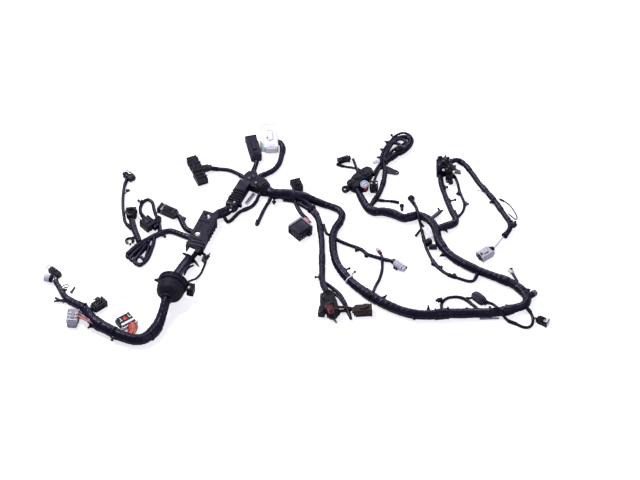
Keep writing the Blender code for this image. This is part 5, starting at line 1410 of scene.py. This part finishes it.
def dress_loop():
    """Fixings, ties and sleeves along the big loop."""
    main = RUNS["main_trunk"]
    tie("pale_cable_tie", main, 127.2, -146, PALE, -30, 4, 2.4, 0.9)
    tail = Shape().tube([place(128.2, -137.4, 15), place(133, -128.6, 13), place(137.8, -121.1, 11)], 1.3, 8)
    tail.box((6.2, 5, 4), place(138.2, -120.4, 11), 0.9)
    tail.make("pale_tie_tail", finish=DARK_GREY)
    clip("loop_upper_clip", main, 109.4, -118.5, 48, "peg", 10.5)
    clip("loop_tree_clip", main, 199.2, -214.5, 58, "tree", 15)
    clip("loop_post_clip", main, 312.5, -254.8, 90, "tree", 19)
    clip("loop_block_clip", main, 403.2, -250.3, 90, "fin", 5)
    clip("loop_end_clip", main, 504, -241.4, 82, "fin", 7.5)
    clip("loop_low_clip", main, 280.8, -252.9, -90, "peg", 4)
    for n, (x, y) in enumerate(((177.6, -198.5), (328.8, -252.9), (358.8, -251.3), (458.4, -249.7))):
        tie(f"loop_tie_{n + 1}", main, x, y, roll=40 - 35 * n, tail=5, width=4.4)
    # A grey strip on the floor under the trunk: painted shadow of the trunk.
    strip = Shape().box((46, 1.6, 6), bevel=0.6)
    strip.make("loop_painted_shadow_strip", seat((456, -260.6), 2, 3.4), GREY)
    back = RUNS["return_trunk"]
    clip("return_clip", back, 358.6, -58.7, 215, "arrow", 12.5)
    clip("return_end_clip", back, 548.6, -181.6, 42, "arrow", 8)
    stub = strand("grey_stub", [(541, -205.9, 10), (553.9, -195.1, 10), (563, -186.5, 9)], 16.5, RUBBER,
                  16, wound=False)
    cap = Shape().rod(stub.centre[-1] - stub.along[-1] * 0.004, stub.centre[-1] + stub.along[-1] * 0.0060,
                      8.6, 8, 20, 1.4)
    cap.make("grey_stub_cap", finish=MIDDLE_GREY)
    strand("white_connector_stub", [(525, -149, 8.5), (520.5, -137, 7), (515, -123.5, 7)], 7)
    white = Shape().box((13.5, 11, 10), (0, 0, 6.2), 1.6)
    white.box((3, 12.6, 11), (5, 0, 6.4), 0.6)
    white.box((6, 4.6, 1.8), (-1, 0, 12.2), 0.5)
    white.make("small_white_connector", seat((511.7, -114), 112), PALE)
    dark = Shape().box((3.6, 6.8, 6), (7.2, 0, 6.4), 1)
    dark.box((6.4, 5.6, 1.6), (1.4, 0, 13.2), 0.5)
    dark.make("small_white_connector_core", seat((511.7, -114), 112), CHARCOAL)
    for n, (x, y, half) in enumerate(((415.2, -103.5, 13), (385, -85.6, 8), (276, 58.4, 10),
                                      (228, 68, 11), (532.8, -177.1, 9))):
        wrap(f"return_wrap_{n + 1}", back, back.reach(x, y), half, 1, sides=24)
    strand("return_strand", [(333.6, -10.9, 16), (330.2, 12.5, 17), (317.8, 37.5, 17), (299, 55, 16),
                             (276, 55.3, 15), (252, 55.3, 15)], 9.2, sides=14)


def dress_middle():
    middle = RUNS["middle_cable"]
    clip("middle_clip_1", middle, 166.8, -62.9, -110, "fin", 6)
    clip("middle_clip_2", middle, 143.8, -45, -95, "peg", 5.5)
    wrap("middle_wrap", middle, middle.reach(206.4, -77), 8.5, 0.7)
    stub = Shape().rod(place(205, -74.4, 6), place(201.6, -63.1, 7), 3.4, 3, 14, 0.5)
    stub.make("middle_stub")
    body = Shape().rod((0, 0, 0), (8.5, 0, 0), 4.6, 4.4, 18, 0.8)
    body.make("small_red_body", seat((200.6, -59.3), 121, 7), MAROON)
    tip = Shape().rod((8.5, 0, 0), (16.5, 0, 0), 5, 4.6, 18, 0.8)
    tip.rod((16.5, 0, 0), (19.5, 0, 0), 3, 2.8, 14, 0.4)
    tip.make("small_red_tip", seat((200.6, -59.3), 121, 7), LIGHT_GREY)
    where = seat((235, -90.8), -44, 9.2)
    rings = Shape()
    for along in (3.5, 10.5, 17.5):
        rings.ring((along, 0, 0), 9, 1, 360, 0, turned(90, "Y"))
    rings.box((15, 4, 3), (12, 0, 9.2), 0.8)
    rings.make("silver_connector_rings", where, LIGHT_GREY)
    tips = Shape().ball((7, -9.8, -3), 4, (1, 1, 1))
    tips.ball((14, -10, -3), 3.4)
    tips.ball((29, 6.2, 1), 4)
    tips.rod((-10, 0, 0), (1, 0, 0), 6.6, 8, 18, 1)
    tips.make("silver_connector_tips", where)


def dress_pad():
    """The oval pad: its dished face, rim and strap slots."""
    where = seat((432.5, -200), -47)
    oval = []
    for n in range(32):
        turn = 2 * math.pi * (n + 0.5) / 32
        across, high = math.cos(turn), math.sin(turn)
        oval.append((20 * math.copysign(abs(across) ** 0.62, across),
                     11.8 * math.copysign(abs(high) ** 0.62, high)))
    shape = Shape().plate(oval, 11, (0, 0, 6.2), bevel=2.2)
    shape.plate([(x * 0.74, y * 0.70) for x, y in oval], 2, (0, 0, 12), bevel=0.7)
    shape.rod((15, 0, 6.2), (24.5, 0, 6), 5.2, 4.2, 16, 0.6)
    shape.rod((-15, 0, 6.2), (-21.5, 0, 6), 4.8, 3.6, 16, 0.6)
    pad = shape.make("pad_shell", where, CHARCOAL)
    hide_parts("pad")
    foot = Shape().box((13, 9, 9), bevel=1.4)
    foot.box((6, 5, 5), (-8, 0, 0), 1)
    foot.make("pad_cable_foot", seat((339.8, -208.5), 10, 10))
    strand("pad_wire", [(403, -197, 5), (410, -198.5, 5.2), (420, -196, 5.6)], 6, sides=10, wound=False)
    strand("pad_lead", [(400.8, -198.3, 5), (409, -208.6, 5), (418.6, -220.1, 5), (432, -238.7, 8)], 7.6,
           sides=12, wound=False)


def dress_right_end():
    where = dress_housing("right_end_connector")
    face = Shape().box((3, 13.5, 11.5), (12.6, 0, 7.5), 1)
    face.box((10, 11, 1.6), (7, 0, 15.6), 0.5)
    face.make("right_end_face", where, PALE)
    fan("right_end", [(558.7, -259.4, 6), (564.5, -263.7, 8), (569.8, -267.5, 8), (575, -270.7, 8)],
        ["red", "red", "black", "red"], 2, 1.6, 4, 8)


def dress_arc():
    arc = RUNS["arc_cable"]
    peg = Shape().rod(place(299, 20.7, 7), place(284.6, -2.7, 6), 3, 3.2, 14, 0.6)
    peg.ball(place(299.5, 21.3, 7), 4.6)
    peg.make("arc_side_peg")
    clip("arc_knob", arc, 300, 24.1, 20, "peg", 4.5)
    for n, (x, y) in enumerate(((328.3, -86.6), (369.6, -128.2))):
        wrap(f"arc_wrap_{n + 1}", arc, arc.reach(x, y), 10, 1.1, sides=16)
    clip("arc_clip_1", arc, 326.4, -88.5, 200, "fin", 4.8)
    clip("arc_clip_2", arc, 374.4, -130.1, 70, "fin", 4.8)
    clip("arc_clip_3", arc, 337.4, -106.4, 40, "peg", 4)
    strip = Shape().plate([(-26, -7.5), (25, -8.5), (28, 7.5), (-24, 6)], 2.2, bevel=0.6)
    strip.box((30, 2, 1.4), (0, 1, 1.6), 0.5)
    strip.make("arc_pale_strip", seat((312, 13.1), -64, 11), PALE)
    body = Shape().rod((0, 0, 0), (0, 0, 15), 8.6, 7.8, 22, 1.6)
    body.rod((0, 0, 15), (0, 0, 16.6), 4.8, 4.6, 18, 0.5)
    body.box((20, 11, 11), (9.5, -14, 6.6), 2.2)
    body.make("arc_round_connector", seat((316.3, -24.2), 0, 0.4))
    fork = strand("forked_stub", [(323, 50, 10), (334, 63, 8), (344, 75, 7)], 10, DARK_GREY, 14,
                  wound=False)
    end = fork.centre[-1]
    prongs = Shape().rod(end, end + Vector((-0.0040, 0.0120, 0.0)), 3, 2.2, 12, 0.4)
    prongs.rod(end, end + Vector((0.0078, 0.0050, 0.0)), 3, 2.2, 12, 0.4)
    prongs.ball(end, 5, (1, 1, 0.8))
    prongs.make("forked_stub_prongs", finish=RUBBER)


def dress_mast():
    """Parallel tubes of the elbow, pegs, and the mast connector's small blocks."""
    mast = RUNS["mast_cable"]
    clip("mast_peg", mast, 363.4, 108.1, 0, "peg", 13.5)
    clip("elbow_clip", mast, 351.4, 28.1, -58, "fin", 11)
    clip("mast_low_peg", mast, 351.8, 151.7, -40, "peg", 5.5)
    strand("elbow_tube", [(336, 11.7, 7), (352.8, 20.7, 7), (370.6, 25.8, 7), (383.5, 36.1, 7),
                          (385.4, 53.3, 7), (379.2, 77, 7)], 8.5, sides=14)
    inner = RUNS["mast_inner_cable"]
    clip("mast_inner_ball", inner, 392.2, 136.4, 180, "peg", 4)
    clip("mast_inner_clip", inner, 402.2, 104.4, 35, "fin", 7.5, DARK_GREY)
    where = seat((358.5, 212), 0)
    blocks = Shape()
    draw = random.Random(6)
    for x, y, z, size in ((-12, 17, 30, 12), (6, 13, 33, 10), (-6, -2, 34, 11), (11, -5, 28, 12),
                          (-14, -13, 24, 10), (4, -19, 23, 12)):
        turn = turned(draw.uniform(-35, 35))
        blocks.box((size, size * 0.72, size * 0.62), (x, y, z), 1.4, turn)
        blocks.box((size * 0.5, size * 0.30, 1.6), (x, y, z + size * 0.34), 0.4, turn)
    for x, y in ((-9, 6), (12, 6), (1, -11)):
        blocks.ring((x, y, 33), 4.6, 1.3)
    blocks.rod((1, 18, 26), (2, 25, 34), 2.2, 1.4, 12, 0.3)
    blocks.rod((5, -30, 10), (6, -43, 8), 4, 3.4, 14, 0.6)
    blocks.ball((0, 6, 30), 11, (1, 1.2, 0.75))
    blocks.ball((8, -14, 23), 12, (1, 1.1, 0.80))
    blocks.ball((-11, -6, 30), 9, (0.9, 1.3, 0.80))
    blocks.box((15, 20, 16), (11, -29, 12), 3, turned(-28))
    blocks.box((11, 12, 12), (13, -41, 9), 2.4, turned(15))
    blocks.make("mast_blocks", where)
    fin = Shape().plate([(0, -7), (17, -4), (13, 6), (0, 9)], 3.4, bevel=0.8)
    fin.make("mast_grey_fin", seat((382.1, 195.5), -20, 19), DARK_GREY)
    spot = Shape().ball((0, 0, 0), 2.6, (1, 1, 0.7))
    spot.rod((0, 0, -2), (0, 0, 0.6), 3.2, 3, 14, 0.3)
    spot.make("mast_pale_stud", seat((354, 184.1), 0, 37), NYLON)


def dress_arm():
    arm = RUNS["arm_cable"]
    clip("arm_ball_clip", arm, 512.6, 38.6, -20, "peg", 7.5)
    clip("arm_ring_clip", arm, 477.6, 110.3, 215, "peg", 5)
    for n, (x, y, half) in enumerate(((487.2, 90.5, 11), (453.6, 148.7, 7), (398.4, 237, 8))):
        wrap(f"arm_wrap_{n + 1}", arm, arm.reach(x, y), half, 1)
    hair = Shape().tube([place(459.4, 130.9, 9), place(451.2, 134.5, 10), place(442.6, 140.9, 10),
                         place(434.4, 143.1, 9)], 0.9, 8)
    hair.make("arm_hair_wire", finish=WIRE_LOOKS["grey"])
    loop = strand("arm_wire_loop", [(486, 113, 11), (494, 112, 8), (510, 102, 4.5), (522.7, 82, 3),
                                    (529.7, 61, 3), (525.6, 54, 3.5), (509, 68, 8)], 3, sides=8,
                  wound=False)
    lump = Shape().box((12, 11, 11), bevel=3)
    lump.ball((5, 0, 0), 5.8)
    lump.make("arm_corner_clip", seat((518.9, 30.1), 20, 8))
    flare = Shape()
    last = arm.centre[-1]
    ahead = arm.along[-1]
    flare.rod(last - ahead * 0.0080, last + ahead * 0.0030, 6.8, 8.4, 20, 1)
    flare.rod(last + ahead * 0.0030, last + ahead * 0.0060, 5, 4.4, 16, 0.6)
    flare.make("arm_flared_end", finish=RUBBER)
    sleeve = Shape().rod(loop.centre[2], loop.centre[7], 3, 2.6, 12, 0.5)
    sleeve.make("arm_wire_sleeve", finish=TUBING)
    where = dress_housing("arm_connector", latch=False)
    top = Shape().box((30, 4, 3), (0, 9.5, 16.6), 0.8)
    top.box((4, 24, 2.6), (-13, 0, 16.4), 0.6)
    top.box((9, 8, 3), (5, -4, 16.6), 0.8)
    top.make("arm_connector_top", where, LIGHT_GREY)
    dark = Shape().box((9.6, 8.6, 15), (14.6, 0, 9.3), 1)
    dark.box((4, 6, 1.4), (-2, 5, 16.4))
    dark.make("arm_connector_notch", where, CHARCOAL)
    collar = Shape().rod((-16.5, 0, 12), (-25.5, 0, 11.5), 7.8, 5.8, 18, 1)
    collar.make("arm_connector_collar", where)


def dress_module():
    """The curved housing's lobes, cover ribs and round face, and the dark connector beside it."""
    face = Matrix.Translation(place(162.5, 146, 27.5)) @ turned(24, "X")
    disc = Shape().rod((0, 0, -6), (0, 0, 1.2), 9.8, 9.6, 28, 0.8)
    neck = Shape().rod((0, 0, -15), (0, 0, -3), 10.8, 10.4, 28, 1)
    neck.make("round_connector_body", face)
    disc.make("round_connector_face", face, PALE_BLUE)
    marks = Shape().ring((0, 0, 1.4), 7.2, 0.8)
    marks.box((10, 1.2, 1), (0, 0, 1.6), 0.3, turned(35))
    marks.make("round_connector_marks", face, GREY)
    red = Shape().box((5.8, 4.4, 5), bevel=1.2)
    red.make("round_connector_lock", seat((165.6, 136.4), 10, 20.5), WIRE_LOOKS["red"])
    dress_housing("dark_connector")
    strand("dark_connector_lead", [(184.8, 163.7, 14), (192, 189.7, 12), (200.6, 215.2, 10)], 6.6)
    strip = Shape().box((16, 3.4, 2.4), bevel=0.6)
    strip.make("dark_connector_strip", seat((185.8, 156.9), 4, 18.6), PALE)
    collar = Shape().ring((117, 147, 6), 7.2, 2.8)
    collar.box((16, 10, 6), (126, 152, 6), 1.4, turned(40))
    collar.make("eyelet_collar", Matrix.Translation(SHIFT))
    lobes = Shape()
    for u, v, z, wide in ((130, 156, 23.5, 11), (144, 173, 24.5, 12), (164, 185, 24.5, 12)):
        lobes.rod((u, v, z - 4), (u, v, z + 1.6), wide, wide * 0.82, 24, 1.4)
        lobes.ring((u, v, z + 1.6), wide * 0.55, 1)
    for n in range(4):
        lobes.box((1.6, 15, 3), (170 + n * 3.4, 196 - n * 2, 24), 0.5, turned(28))
    lobes.make("module_lobes", Matrix.Translation(SHIFT))


def dress_upper_bundle():
    """The strands, clips and bands of the bundle above the module, with their black connector."""
    strand("loop_outer_strand", [(213.6, 264.1, 9), (224.6, 299.3, 9), (241.4, 322.9, 9),
                                 (259.7, 331.3, 9), (276, 322.3, 9), (281.3, 302.5, 9), (271.2, 278.8, 9),
                                 (249.6, 258.1, 10)], 5.8)
    strand("module_stub", [(147, 196, 14), (142, 220, 10.5), (138, 240, 6), (136, 249, 5)], 7, sides=12,
           wound=False)
    strand("module_left_leg", [(183.6, 190, 12), (192, 208, 10), (203.8, 230, 11)], 9)
    strand("loop_inner_strand", [(212, 250, 9), (230.9, 295.4, 8), (241, 308.8, 6), (254.4, 313.6, 5.5),
                                 (266.4, 304.3, 6), (269.5, 292.8, 7), (260, 279, 11)], 7.5)
    strand("loop_second_strand", [(202.6, 212.9, 9), (204.5, 251.3, 9), (212.6, 277.7, 8),
                                  (223.7, 297.8, 7), (239, 300, 6), (252, 292.7, 7), (258.2, 278.1, 9)],
           7.8)
    strand("loop_third_strand", [(217.4, 228, 10), (221.3, 250.5, 12), (231.8, 270.6, 11),
                                 (248.2, 284.5, 9), (261.6, 299.1, 7)], 7.2)
    upper = Shape().box((20, 13, 12), bevel=1.8)
    upper.box((8, 6, 3), (2, 0, 7), 0.8)
    for n in range(3):
        upper.box((1.2, 14, 10), (-6 + 3.6 * n, 0, 0))
    upper.make("loop_connector", seat((247.7, 274), 35, 14))
    loop = RUNS["module_loop_cable"]
    for n, (x, y, away, kind) in enumerate(((225.6, 300.1, 140, "arrow"), (217.4, 274.5, 160, "arrow"),
                                            (211.7, 252.1, 175, "fin"), (241, 314.2, 120, "peg"))):
        clip(f"loop_clip_{n + 1}", loop, x, y, away, kind, 12.5)
    pale = Shape().plate([(-10, -3), (6, -6.2), (10.5, 2), (-6, 5)], 3, bevel=0.7)
    pale.make("module_pale_tab", seat((190.3, 237.1), 38, 8), LIGHT_GREY)
    second = Shape().rod((0, 0, 0), (16.5, 0, 0), 6.2, 4, 16, 0.8)
    second.rod((0, 0, 0), (3.5, 0, 0), 7.4, 7.4, 18, 0.8)
    second.make("module_second_lead", seat((126.2, 245.6), 205, 7))
    for node, share in (("module_branch_cable", 0.35), ("module_branch_cable", 0.75),
                        ("module_loop_cable", 0.12), ("module_loop_cable", 0.30),
                        ("module_loop_cable", 0.90)):
        run = RUNS[node]
        wrap(f"{node}_band_{round(share * 100)}", run, run.length * share, 8, 1)


set_camera()
lay_floor()
light_studio()
lay_trunks()
lay_hub_cables()
lay_middle_cables()
lay_right_cables()
lay_left_cables()
dress_tail_connectors()
dress_multi_way()
dress_two_tone()
dress_tail_black()
dress_grommet()
dress_neck()
dress_bracket()
dress_hub()
dress_top_connectors()
dress_left_cluster()
dress_left_clips()
dress_tail_trunk()
dress_bridge()
dress_big_connector()
dress_drop()
dress_loop()
dress_middle()
dress_pad()
dress_right_end()
dress_arc()
dress_mast()
dress_arm()
dress_module()
dress_upper_bundle()
finish_cad()
